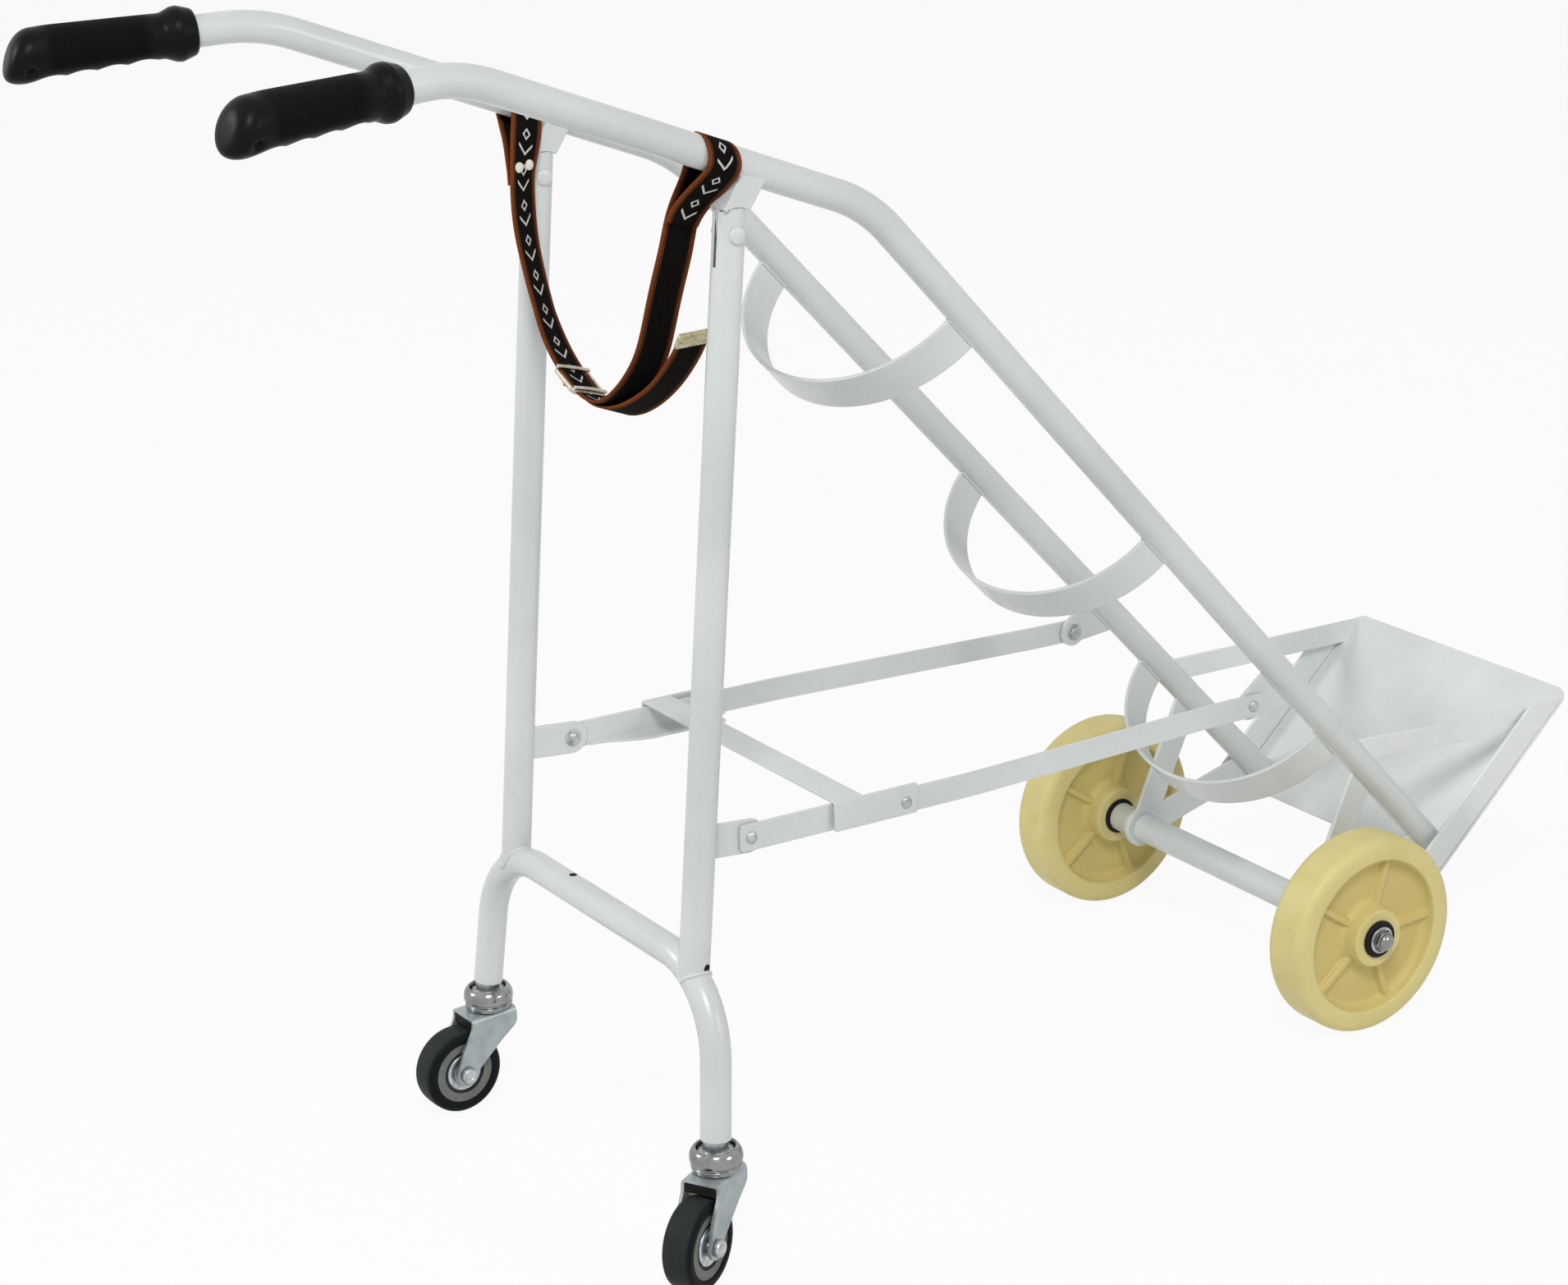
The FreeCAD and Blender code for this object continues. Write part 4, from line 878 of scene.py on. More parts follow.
bar_y = rail_half_at(HANGER_HEIGHT)
axle_spot = np.array([(AXLE - foot_line) @ RAIL_OUT, 0.0, (AXLE - foot_line) @ RAIL_DIR])
bracket_shapes = []
for height, thin in ((HANGER_HEIGHT, 0.0), (STRUT_HEIGHT, 0.4)):
    run = np.array([0, 0, height]) - axle_spot
    reach = float(np.linalg.norm(run))
    bar = plate(slab(-BAR_WIDTH / 2, -BAR_WIDTH / 2, reach, BAR_WIDTH / 2, [11.9, 1, 1, 11.9]),
                thin - BAR_THICK / 2, BAR_THICK / 2 - thin, 0.7)
    across_bar = np.array([-run[2], 0.0, run[0]]) / reach
    bracket_shapes.append(on_rail(placed(bar, axle_spot + WORLD_Y * bar_y, run / reach, across_bar)))
eye_half = BAR_THICK / 2 + 0.5
eye = slab(EYE_BORE, -eye_half, EYE_RADIUS, eye_half, [0.2, 1, 1, 0.2], 20, 0.3)
bracket_shapes.append(turned(eye, AXLE + WORLD_Y * bar_y, WORLD_Y, 64, closed=True))
painted_pair("axle_bracket_bars", bracket_shapes, "axle_bracket")
tube_line = AXLE + np.array([[0, -AXLE_TUBE_HALF, 0], [0, 0, 0], [0, AXLE_TUBE_HALF, 0]])
painted("axle_tube_pipe", [tube(tube_line, AXLE_TUBE_RADIUS, AXLE_TUBE_WALL, WORLD_Z)], ["axle_tube"])
axle_end = WASHER_FACE + WASHER_THICK
axle_rod = bent([(0.05, -axle_end), (AXLE_RADIUS, -axle_end), (AXLE_RADIUS, axle_end), (0.05, axle_end)], 0.4)
fastener("axle_rod", [turned(axle_rod, AXLE, WORLD_Y)], ["axle"])
axle_washer = slab(WASHER_BORE, 0, WASHER_RADIUS, WASHER_THICK, 0.4, 30)
axle_washer = turned(axle_washer, AXLE + WORLD_Y * WASHER_FACE, WORLD_Y, closed=True)
fastener("axle_washer_rings", both(axle_washer), ["axle_washers"])

# Chrome is near mirror, with faint water marks that change its gloss. Its grey is darker than bare chrome, as
# painted reflection of darker surroundings.
chrome = clouded("chrome", (150, 152, 150), (124, 126, 125), 90.0, (0.3, 0.75), (0.07, 0.1),
                 fixed={"Metallic": 1.0})
crown = np.linspace(0, math.pi / 2, 11)
nut_skirt = bent(AXLE_NUT, [0, 0.2, 0.2, 0.5, 0])
nut_crown = np.stack([np.maximum(NUT_CROWN_RADIUS * np.cos(crown), 0.05),
                      NUT_CROWN_FROM + NUT_CROWN_RISE * np.sin(crown)], axis=1)
axle_nut = [turned(profile, AXLE + WORLD_Y * axle_end, WORLD_Y, spread=spread)
            for profile, spread in ((nut_skirt, hexagon), (nut_crown, None))]
piece("axle_nut_domes", both(*axle_nut), "frame", chrome, ["axle_nuts"])


# Wheels: solid cast nylon, cream, with a darker yellow over the recessed web as painted shade. A crowned
# rim, a thin web stiffened by five ribs on each face, and a long hub with a black flanged bush pressed into
# each end.
WHEEL_Y = 161.0
WHEEL_RADIUS = 80.0
WEB_HALF = 8.0
RIB_HALF = 12.5
RIB_FOOT, RIB_FLANK = 4.4, 2.6
HUB_RADIUS, HUB_HALF = 23.0, 22.0
HUB_BORE = 10.0
WELL_RADIUS = 62.0
RIM_HALF = 19.0
RIBS = 5
BUSH = [(6.05, 6.0), (10.0, 6.0), (10.0, 22.0), (15.0, 22.0), (15.0, 24.5), (6.05, 24.5)]
NYLON = (224, 211, 144)
# A darker yellow: a random cloudy tone, and painted shade over the recessed web.
NYLON_CLOUD_AND_SHADE = (208, 189, 116)
NYLON_STAIN = (192, 172, 112)


def wheel_surface():
    """Wheel about Y: a ring profile turned, with ribs raised from its web.

    Over the web the half thickness is the larger of the profile's and the rib's, where a rib's is
    its height times a smooth step of the distance r sin(turn) from its middle line.
    """
    half_profile = bent([(HUB_BORE, HUB_HALF), (HUB_RADIUS, HUB_HALF), (HUB_RADIUS + 3, WEB_HALF),
                         (WELL_RADIUS - 2, WEB_HALF), (WELL_RADIUS + 0.5, RIM_HALF - 0.6), (69.0, RIM_HALF),
                         (WHEEL_RADIUS, RIM_HALF - 1.0), (WHEEL_RADIUS, 0.0)],
                        [0, 1.5, 7.0, 7.0, 2.5, 12.0, 8.0, 0], turn=9, guard=0.4)
    middle = (half_profile[:, 1] <= WEB_HALF + 1e-6) & (half_profile[:, 0] < WELL_RADIUS)
    start, stop = np.flatnonzero(middle)[[0, -1]]
    web_radius = np.linspace(half_profile[start, 0], half_profile[stop, 0], 16)
    spread_web = np.stack([web_radius, np.full(16, WEB_HALF)], axis=1)
    half_profile = np.concatenate([half_profile[:start], spread_web, half_profile[stop + 1:]])
    profile = np.concatenate([half_profile * [1, -1], half_profile[::-1][1:]])
    near_rib = np.concatenate([np.linspace(-9, 9, 37), np.linspace(9, 63, 13)[1:-1]])
    turn = np.radians((near_rib[None] + np.arange(RIBS)[:, None] * 360 / RIBS).ravel())
    offset = (turn + math.pi / RIBS) % (2 * math.pi / RIBS) - math.pi / RIBS
    radius, half = profile[:, :1], np.abs(profile[:, 1:])
    away = np.abs(radius * np.sin(offset)[None])
    rise = np.clip((RIB_FOOT - away) / RIB_FLANK, 0, 1)
    rise = rise * rise * (3 - 2 * rise)
    on_web = (radius > HUB_RADIUS - 1) & (radius < WELL_RADIUS + 1)
    raised = np.where(on_web, np.maximum(half, WEB_HALF + (RIB_HALF - WEB_HALF) * rise), half)
    level = np.sign(profile[:, 1:]) * raised
    points = np.stack([radius * np.cos(turn), level, -radius * np.sin(turn)], axis=-1)
    # Painted shade: how far the web lies sunk below the rim, used to darken the recess.
    depth = (RIM_HALF - 0.8 * half - 0.2 * raised) / (RIM_HALF - WEB_HALF)
    recess_shade = np.where(on_web, np.clip(depth, 0, 1), 0.0)
    rows, columns = points.shape[:2]
    shape = points.reshape(-1, 3), grid_quads(rows, columns, wrap_rows=True), []
    return shape, {"recess_shade": np.broadcast_to(recess_shade, points.shape[:2])}


def cast_nylon(root):
    """Cast nylon: cream and waxy, a darker yellow painted as shade where the web lies recessed, faint stains
    and mould marks.
    """
    recess_shade = root.mark("recess_shade")
    cloud = root.noise(26.0, 5.0)
    stain = root.noise(70.0, 6.0).ramp(0.58, 0.76)
    tone = (recess_shade * 0.85).blend(NYLON, NYLON_CLOUD_AND_SHADE)
    tone = (cloud.ramp(0.4, 0.75) * 0.35).blend(tone, NYLON_CLOUD_AND_SHADE)
    tone = (stain * 0.25).blend(tone, NYLON_STAIN)
    return {"Base Color": tone, "Roughness": 0.4 + 0.14 * cloud,
            "Normal": root.bump(root.noise(240.0, 3.0), 0.2, 0.3), "Specular IOR Level": 0.4}


nylon = finish("cast_nylon", cast_nylon)
# Black moulding for the wheel bushes, also used as painted shade inside the caster forks.
bush_and_shade_black = clouded("moulded_black_and_shade", (24, 23, 22), (38, 37, 36), 700.0, (0.3, 0.8), (0.42, 0.2), (0.08, 0.5),
                     detail=3.0, fixed={"Specular IOR Level": 0.1})
bush_profile = bent(BUSH, [0.2, 0.2, 0.2, 0.4, 1.0, 0.5], turn=30, closed=True, guard=0.2)
wheel, wheel_marks = wheel_surface()
for word, side in SIDES:
    centre = AXLE + WORLD_Y * side * WHEEL_Y
    piece(f"nylon_wheel_{word}", [placed(wheel, centre, ACROSS_X, WORLD_Z)], f"wheel_{word}", nylon,
          [f"wheel_{word}"], wheel_marks)
    bushes = [turned(bush_profile, centre, WORLD_Y * end, closed=True) for end in (1, -1)]
    piece(f"bush_flanges_{word}", bushes, f"wheel_{word}", bush_and_shade_black, [f"wheel_bushes_{word}"])


# Casters: a chrome bearing cup pressed on each bridge end. Under it swivels a pressed zinc fork. A black
# boss, shield and tyre guard fill the fork's inside as painted shade, and on its bolt turns a small wheel
# of grey core and dark tyre. Each caster trails at its own heading.
STEM_X = -285.343
CASTER_HEADING = {"far": 2.0, "near": 28.0}
CASTER_TRAIL = 32.0
CASTER_RADIUS = 33.0
FORK_MIDDLE = 14.25
FORK_INSIDE = 12.9
FORK_TOP = 75.25
FORK_BEND_FROM = 70.0
FORK_THICK = 2.5
FORK_EYE = 9.0
FORK_BACK = [(-41.0, 33.0), (-34.0, 52.0), (-24.0, 68.0), (-24.0, 76.5)]
FORK_FRONT = [(-23.0, 33.0), (2.0, 54.0), (15.0, 63.0), (15.0, 76.5)]
CUP = [(0.05, 77.0), (17.0, 77.0), (18.1, 77.6), (18.3, 80.6), (17.2, 81.4), (17.2, 82.2), (18.9, 83.4),
       (19.2, 86.4), (18.4, 90.0), (16.6, 92.6), (15.0, 93.6), (14.0, 93.2), (13.6, 88.0), (0.05, 88.0)]
CUP_CORNERS = [0, 0.5, 0.5, 0.5, 0.3, 0.3, 1.0, 4.0, 5.0, 3.0, 0.5, 0.4, 0.3, 0]
NECK_PROFILE = [(0.05, 87.9), (9.0, 87.9), (9.0, 103.0), (0.05, 103.0)]
TOOTHED_WASHER = [(8.9, 88.0), (13.0, 88.0), (12.6, 90.8), (8.9, 91.4)]
TEETH, TOOTH_SHARE = 20, 0.05
# Painted shade: a black boss, shield and tyre guard fill the fork's inside, where there is only shade.
SHADE_BOSS = [(0.05, 61.5), (9.0, 61.5), (12.3, 63.5), (12.3, 70.0), (0.05, 70.0)]
SHADE_SHIELD_BACK, SHADE_SHIELD_FRONT, SHADE_SHIELD_LOW, SHADE_SHIELD_HIGH = -23.4, 12.0, 67.6, 74.1
SHADE_GUARD_RADIUS = 34.4
SHADE_GUARD_FROM, SHADE_GUARD_TO = math.radians(76), math.radians(40)
SHADE_GUARD_TOP = [(3.0, 57.0), (6.0, 73.0), (-23.0, 73.0)]
TYRE = [(24.0, -10.9), (26.0, -11.5), (29.5, -11.4), (32.4, -9.0), (33.0, 0.0), (32.4, 9.0), (29.5, 11.4),
        (26.0, 11.5), (24.0, 10.9)]
CORE = [(4.05, -8.5), (17.0, -8.5), (17.0, -10.3), (24.0, -10.3), (24.0, 10.3), (17.0, 10.3), (17.0, 8.5),
        (4.05, 8.5)]
CAP = [(4.2, 8.55), (14.5, 8.55), (14.5, 9.9), (13.0, 10.5), (9.0, 9.7), (7.0, 10.4), (4.2, 10.4)]
BOLT = [(0.05, 16.5), (6.5, 16.5), (6.5, 18.6), (5.6, 20.2), (2.6, 20.5), (2.2, 19.9), (0.05, 19.9)]
BOLT_SHANK = [(4.0, -16.6), (4.0, 16.6)]
CASTER_AROUND = 72
TREAD_FROM, TREAD_FADE = 31.2, 1.2
GROOVE_FROM, GROOVE_FADE = 17.2, 0.3
FORK_ZINC = (172, 181, 183)
FORK_ZINC_DULL = (152, 162, 165)
TYRE_SIDE, TYRE_TREAD = (18, 22, 22), (50, 55, 55)
# The last core colour is painted shade for the groove round the cap.
CORE_GREY, CORE_DULL, CORE_GROOVE_SHADE = (112, 115, 111), (96, 99, 96), (20, 20, 20)


def fork_zinc(root):
    """Blue-passivated zinc on pressed sheet: streaks down the sheet, dull clouds, fine grain."""
    drawn = root.make("ShaderNodeMapping", {}, {"Vector": root.place(), "Scale": (420, 420, 40)})
    streak = root.noise(1.0, 4.0, drawn)
    cloud = root.noise(60.0, 4.0)
    tone = cloud.ramp(0.35, 0.7).blend(FORK_ZINC, FORK_ZINC_DULL)
    return {"Base Color": tone, "Metallic": 0.55, "Roughness": 0.3 + 0.14 * streak,
            "Normal": root.bump(streak, 0.05, 0.3)}


def tyre_rubber(root):
    """Dark solid tyre: a paler, dusty tread band and a dull sidewall."""
    tread = root.mark("tread")
    dust = root.noise(150.0, 5.0)
    tone = (tread * (0.45 + 0.5 * dust)).blend(TYRE_SIDE, TYRE_TREAD)
    return {"Base Color": tone, "Roughness": 0.44 + 0.2 * dust,
            "Normal": root.bump(root.noise(600.0, 3.0), 0.1, 0.5), "Specular IOR Level": 0.08}


def core_plastic(root):
    """Grey moulded core; the groove round its metal cap is painted near black as shade."""
    groove_shade = root.mark("groove_shade")
    grain = root.noise(500.0, 3.0)
    tone = grain.ramp(0.3, 0.8).blend(CORE_GREY, CORE_DULL)
    return {"Base Color": groove_shade.blend(tone, CORE_GROOVE_SHADE), "Roughness": 0.5 + 0.15 * grain,
            "Normal": root.bump(grain, 0.08, 0.5)}


def fork_surface():
    """Fork about its stem: a flat section carried up one cheek, over the top plate and down the other.

    The section's width is what the cheek's outline leaves between its back and front edges at that level.
    """
    outline_back = bent(FORK_BACK, 14.0)
    outline_front = bent(FORK_FRONT, [0, 30.0, 9.0, 0])
    eye_levels = CASTER_RADIUS - FORK_EYE * np.cos(np.linspace(0.15, math.pi / 2, 10))
    levels = np.concatenate([eye_levels, np.linspace(34.5, FORK_BEND_FROM, 22)])
    cheek = np.stack([np.zeros_like(levels), np.full_like(levels, -FORK_MIDDLE), levels], axis=1)
    corner = bent([(0, -FORK_MIDDLE, FORK_BEND_FROM), (0, -FORK_MIDDLE, FORK_TOP), (0, 0, FORK_TOP)],
                  3.0, turn=15)
    half = np.concatenate([cheek, corner[1:]])
    path = np.concatenate([half, (half * [1, -1, 1])[::-1][1:]])
    height = path[:, 2]
    eye = np.sqrt(np.clip(FORK_EYE ** 2 - (height - CASTER_RADIUS) ** 2, 0, None))
    low = height < CASTER_RADIUS
    back = np.where(low, -CASTER_TRAIL - eye, np.interp(height, outline_back[:, 1], outline_back[:, 0]))
    front = np.where(low, -CASTER_TRAIL + eye, np.interp(height, outline_front[:, 1], outline_front[:, 0]))
    base = flat_section(2.0, FORK_THICK, 0.06)
    across = (front + back)[:, None] / 2 + base[None, :, 0] * (front - back)[:, None] / 2
    section = np.stack([across, np.broadcast_to(base[None, :, 1], across.shape)], axis=-1)
    return carried(path, section, ACROSS_X)


fork_finish = finish("fork_zinc", fork_zinc)
tyre_finish = finish("caster_tyre", tyre_rubber)
core_finish = finish("caster_core", core_plastic)
cup_profile = bent(CUP, CUP_CORNERS, turn=12)
tyre_profile = bent(TYRE, [0.2, 1.5, 3.0, 3.0, 60.0, 3.0, 3.0, 1.5, 0.2], turn=12, closed=True)
core_profile = bent(CORE, [0.2, 0.3, 0.6, 0.3, 0.3, 0.6, 0.3, 0.2], turn=30, closed=True, guard=0.2)
cap_profile = bent(CAP, [0.2, 0.2, 0.8, 1.0, 2.0, 1.0, 0.3], turn=20, closed=True)
bolt_profile = bent(BOLT, [0, 0.3, 0.8, 1.2, 0.2, 0.2, 0], turn=20)
shade_boss_profile = bent(SHADE_BOSS, [0, 0.8, 1.6, 0.3, 0], turn=20)
shade_shield_outline = slab(SHADE_SHIELD_BACK, -FORK_INSIDE, SHADE_SHIELD_FRONT, FORK_INSIDE, [2, 8, 8, 2])
shade_shield = lying(plate(shade_shield_outline, -SHADE_SHIELD_HIGH, -SHADE_SHIELD_LOW, 0.8))
shade_guard_arc = arc((-CASTER_TRAIL, CASTER_RADIUS), SHADE_GUARD_RADIUS, SHADE_GUARD_FROM, SHADE_GUARD_TO, 10)
shade_guard = plate(np.concatenate([shade_guard_arc, SHADE_GUARD_TOP]), -FORK_INSIDE, FORK_INSIDE, 0.4)
toothed = bent(TOOTHED_WASHER, 0.2, turn=30, closed=True)
teeth = 1 + TOOTH_SHARE * np.sin(np.linspace(0, 2 * math.pi, 120, endpoint=False) * TEETH)
tread = np.repeat(np.clip((tyre_profile[:, 0] - TREAD_FROM) / TREAD_FADE, 0, 1), CASTER_AROUND)
# Painted shade: near black in the groove round each cap.
groove_shade = np.repeat(np.clip((GROOVE_FROM - core_profile[:, 0]) / GROOVE_FADE, 0, 1), CASTER_AROUND)
fork = fork_surface()
for word, side in SIDES:
    stem = np.array([STEM_X, side * CASTER_HALF, 0.0])
    heading = math.radians(CASTER_HEADING[word])
    ahead = np.array([math.cos(heading), math.sin(heading), 0.0])
    roll_axis = np.cross(WORLD_Z, ahead)
    hub = stem - ahead * CASTER_TRAIL + WORLD_Z * CASTER_RADIUS
    fork_body, wheel_body = f"caster_fork_{word}", f"caster_wheel_{word}"
    cup = turned(cup_profile, stem, WORLD_Z, 64)
    piece(f"caster_cup_{word}", [cup], "leg_frame", chrome, [f"caster_stem_{word}"])
    neck = [turned(NECK_PROFILE, stem, WORLD_Z), turned(toothed, stem, WORLD_Z, 120, teeth, closed=True)]
    fastener(f"caster_neck_{word}", neck, body="leg_frame")
    # Painted shade: the black fill inside the fork.
    shade_fill = [turned(shade_boss_profile, stem, WORLD_Z)]
    shade_fill += [placed(shape, stem, ahead, WORLD_Z) for shape in (shade_shield, shade_guard)]
    piece(f"caster_shade_fill_{word}", shade_fill, fork_body, bush_and_shade_black)
    sheet = placed(fork, stem, ahead, WORLD_Z)
    piece(f"caster_fork_sheet_{word}", [sheet], fork_body, fork_finish, [f"caster_fork_{word}"])
    bolt = [turned(bolt_profile, hub, roll_axis * end) for end in (1, -1)]
    bolt.append(turned(BOLT_SHANK, hub, roll_axis))
    fastener(f"caster_bolt_heads_{word}", bolt, [f"caster_bolt_{word}"], fork_body)
    tyre = turned(tyre_profile, hub, roll_axis, CASTER_AROUND, closed=True)
    piece(f"caster_tyre_ring_{word}", [tyre], wheel_body, tyre_finish,
          [f"caster_tyre_{word}"], {"tread": tread})
    core = turned(core_profile, hub, roll_axis, CASTER_AROUND, closed=True)
    piece(f"caster_core_disc_{word}", [core], wheel_body, core_finish, [f"caster_hub_{word}"],
          {"groove_shade": groove_shade})
    caps = [turned(cap_profile, hub, roll_axis * end, 64, closed=True) for end in (1, -1)]
    piece(f"caster_cap_discs_{word}", caps, wheel_body, zinc, [f"caster_caps_{word}"])


# Strap: 25 mm woven webbing hung between the rails, looped round each and sewn or riveted back on
# itself. It passes a nickel slider buckle at the bottom, and its loose tail ends in a brass tip.
STRAP_WIDTH = 25.0
STRAP_THICK = 1.8
STRAP_ORIGIN = (SHOULDER + UPPER_RUN * 134.0) * TO_MIDDLE
STRAP_BACK = 6.3
LOOP_CENTRE = (-130.0, -1.0)
LOOP_RADIUS = 13.9
SEWN_END = [(-107.6, -48.5), (-111.6, -38.5), (-124.0, -25.0)]
NEAR_FALL = [(-114.0, -13.0), (-110.5, -26.0), (-106.0, -42.0)]
FAR_FALL = [(107.5, -60.0), (107.5, -40.0), (112.0, -20.0)]
FAR_END = [(122.0, -27.0), (113.5, -42.0), (110.4, -56.0)]
STRAP_U = [(-99.0, -66.0), (-87.0, -88.0), (-76.0, -110.0), (-67.0, -130.0), (-56.0, -150.0), (-36.0, -171.0),
           (-6.0, -193.0), (20.0, -198.0), (45.0, -187.0), (70.0, -170.0), (87.0, -148.0), (101.0, -112.0),
           (107.5, -88.0)]
TAIL = [(60.0, -180.5), (44.0, -190.0), (20.0, -201.5), (-8.0, -198.0), (-38.0, -185.0), (-70.0, -165.0),
        (-97.0, -139.0), (-106.0, -127.0)]
TAIL_TWIST = math.radians(18.0)
STRAP_HANG, TAIL_HANG = -8.0, -4.0
FAR_TWIST = math.radians(20.0)
BUCKLE_ENDS = [(62.0, -177.5), (22.0, -197.5)]
BUCKLE_FROM, BUCKLE_LENGTH, BUCKLE_HALF = 5.5, 28.0, 14.6
RING_HALF = 13.2
BUCKLE_BARS = ((-12.4, 3.0, 0.5), (12.4, 3.0, 0.5), (0.0, -3.2, -0.3))
TIP_WIDTH, TIP_THICK = 25.8, 3.2
TIP_STATIONS = np.array([-5.0, -4.6, -4.0, 6.0, 6.6, 7.0])
TIP_SCALES = np.array([0.97, 0.99, 1.0, 1.0, 0.99, 0.96])
RIVET_LEVEL, RIVET_OFF = -40.0, 5.0
RIVET_CAP_RADIUS, RIVET_CAP_HEIGHT = 3.8, 2.2
HANG_LEVELS = (-46.0, -8.0)
TWIST_LEVELS = (-175, -140, -45, -20)
SELVEDGE = 11.4
MOTIF_STEP = 25.0
WEBBING, WEBBING_WORN = (15, 13, 12), (27, 24, 22)
WEBBING_EDGE, WEBBING_EDGE_DEEP = (146, 80, 42), (98, 50, 26)
WEBBING_WHITE = (222, 220, 214)


def smooth_line(controls, steps=10):
    """Uniform cubic B-spline of control points, which starts and ends on the first and last of them."""
    controls = np.asarray(controls, float)
    padded = np.concatenate([2 * controls[:1] - controls[1:2], controls, 2 * controls[-1:] - controls[-2:-1]])
    t = np.linspace(0, 1, steps, endpoint=False)[:, None, None]
    weights = ((1 - t) ** 3 / 6, (3 * t ** 3 - 6 * t ** 2 + 4) / 6,
               (-3 * t ** 3 + 3 * t ** 2 + 3 * t + 1) / 6, t ** 3 / 6)
    spans = len(padded) - 3
    line = sum(weight * padded[None, k:k + spans] for k, weight in enumerate(weights))
    return np.concatenate([line.transpose(1, 0, 2).reshape(-1, controls.shape[1]), controls[-1:]])


def in_strap_plane(stations, hang):
    """Stations (Y, Z) from the rails' level, in a cross plane that hangs back by hang below the loops."""
    stations = np.asarray(stations, float)
    low = np.interp(stations[:, 1], HANG_LEVELS, [1.0, 0.0])[:, None]
    back = low * (UPPER_RUN * STRAP_BACK + ACROSS_X * hang)
    return STRAP_ORIGIN + back + stations[:, :1] * WORLD_Y + stations[:, 1:2] * WORLD_Z


def twisted_across(twist):
    """The rails' direction turned about the upright by a twist, or by each of an array of them."""
    return np.stack([UPPER_RUN[0] * np.cos(twist), UPPER_RUN[0] * np.sin(twist),
                     np.full_like(twist, UPPER_RUN[2])], axis=-1)


def webbing(path, twist):
    """Webbing along a path, its width turned about the upright by twist at each point.

    Its marks are millimetres along, millimetres across and which face.
    """
    section = flat_section(STRAP_WIDTH, STRAP_THICK, 0.7)
    columns = np.linspace(-0.5, 0.5, 13) * (STRAP_WIDTH - 3)
    top = np.stack([columns[::-1], np.full(13, STRAP_THICK / 2)], axis=1)
    low = np.stack([columns, np.full(13, -STRAP_THICK / 2)], axis=1)
    right, left = section[section[:, 0] > SELVEDGE], section[section[:, 0] < -SELVEDGE]
    section = np.concatenate([low, right, top, left])
    shape = carried(path, section, twisted_across(twist))
    along = reach_along(path)
    marks = {"along": np.repeat(along, len(section)), "across": np.tile(section[:, 0], len(path)),
             "face": np.tile(section[:, 1], len(path))}
    return shape, marks, along[-1]


def woven_strap(root):
    """Black twill with brown bound edges; the inner face has a row of plain white chevrons and diamonds."""
    along, across, face = root.mark("along"), root.mark("across"), root.mark("face")
    off = across.size()
    edge = off.ramp(9.8, 10.4)
    line = (off - 9.2).size().ramp(0.45, 0.25)
    rib = (along + across * 0.5).wave(1.7)
    weft = (along - across * 0.5).wave(1.7) * across.wave(1.3)
    step = root.maths("MODULO", along, MOTIF_STEP)
    chevron = (step - off * 1.15 - 5.0).size().ramp(1.25, 0.9) * off.ramp(6.0, 5.6)
    diamond = ((step - 19.0).size() + off * 1.3 - 3.4).size().ramp(1.1, 0.8)
    shown = face.ramp(0.2, 0.6) * chevron.larger(diamond)
    fuzz = root.noise(900.0, 3.0)
    tone = fuzz.ramp(0.3, 0.8).blend(WEBBING, WEBBING_WORN)
    bound = (rib * 0.5 + 0.5).blend(WEBBING_EDGE, WEBBING_EDGE_DEEP)
    tone = edge.larger(line * 0.7).blend(tone, bound)
    tone = (shown * (0.75 + 0.3 * fuzz)).blend(tone, WEBBING_WHITE)
    height = (1 - edge) * (0.5 * rib + 0.5 * weft) + edge * rib + 0.5 * shown + 0.3 * fuzz
    return {"Base Color": tone, "Roughness": 0.78 + 0.15 * fuzz, "Normal": root.bump(height, 0.3, 0.7),
            "Specular IOR Level": 0.04}


strap_finish = finish("woven_webbing", woven_strap)
loop_ring = arc(LOOP_CENTRE, LOOP_RADIUS, math.radians(222), math.radians(8), 8)
near_end = np.concatenate([SEWN_END, loop_ring, NEAR_FALL])
far_end = np.concatenate([FAR_FALL, (loop_ring * [-1, 1])[::-1], FAR_END])
strap_path = smooth_line(in_strap_plane(np.concatenate([near_end, STRAP_U, far_end]), STRAP_HANG))
strap_level = strap_path[:, 2] - STRAP_ORIGIN[2]
far_share = np.interp(strap_level, TWIST_LEVELS, [0, 1, 1, 0]) * (strap_path[:, 1] > 0)
strap_twist = FAR_TWIST * far_share
strap, strap_marks, strap_length = webbing(strap_path, strap_twist)
strap_band = piece("strap_webbing", [strap], "frame", strap_finish, ["strap_band"], strap_marks)
tail_path = smooth_line(in_strap_plane(TAIL, TAIL_HANG))
tail, tail_marks, tail_length = webbing(tail_path, TAIL_TWIST * np.interp(tail_path[:, 1], [-60, 0], [1, 0]))
tail_marks["face"] = -np.abs(tail_marks["face"])
strap_tail = piece("strap_tail_webbing", [tail], "frame", strap_finish, ["strap_tail"], tail_marks)

# The buckle is warm grey nickel with rubbed, brassy spots; the tip pale brass, dulled; the rivet
# caps white plastic, slightly yellowed.
nickel = clouded("nickel_buckle", (188, 184, 174), (168, 146, 104), 220.0, (0.45, 0.7), (0.22, 0.2),
                 (0.05, 0.3), fixed={"Metallic": 0.95})
brass = clouded("pale_brass", (206, 198, 168), (172, 160, 120), 300.0, (0.35, 0.7), (0.34, 0.2), (0.05, 0.4),
                fixed={"Metallic": 0.7})
rivet_cap = clouded("rivet_cap", (238, 236, 226), (222, 216, 196), 250.0, (0.4, 0.7), (0.32, 0.15),
                    (0.05, 0.3))
buckle_start, buckle_stop = in_strap_plane(BUCKLE_ENDS, STRAP_HANG)
buckle_dir = unit(buckle_stop - buckle_start)
buckle_across = unit(UPPER_RUN - buckle_dir * (UPPER_RUN @ buckle_dir))
buckle_up = np.cross(buckle_across, buckle_dir)
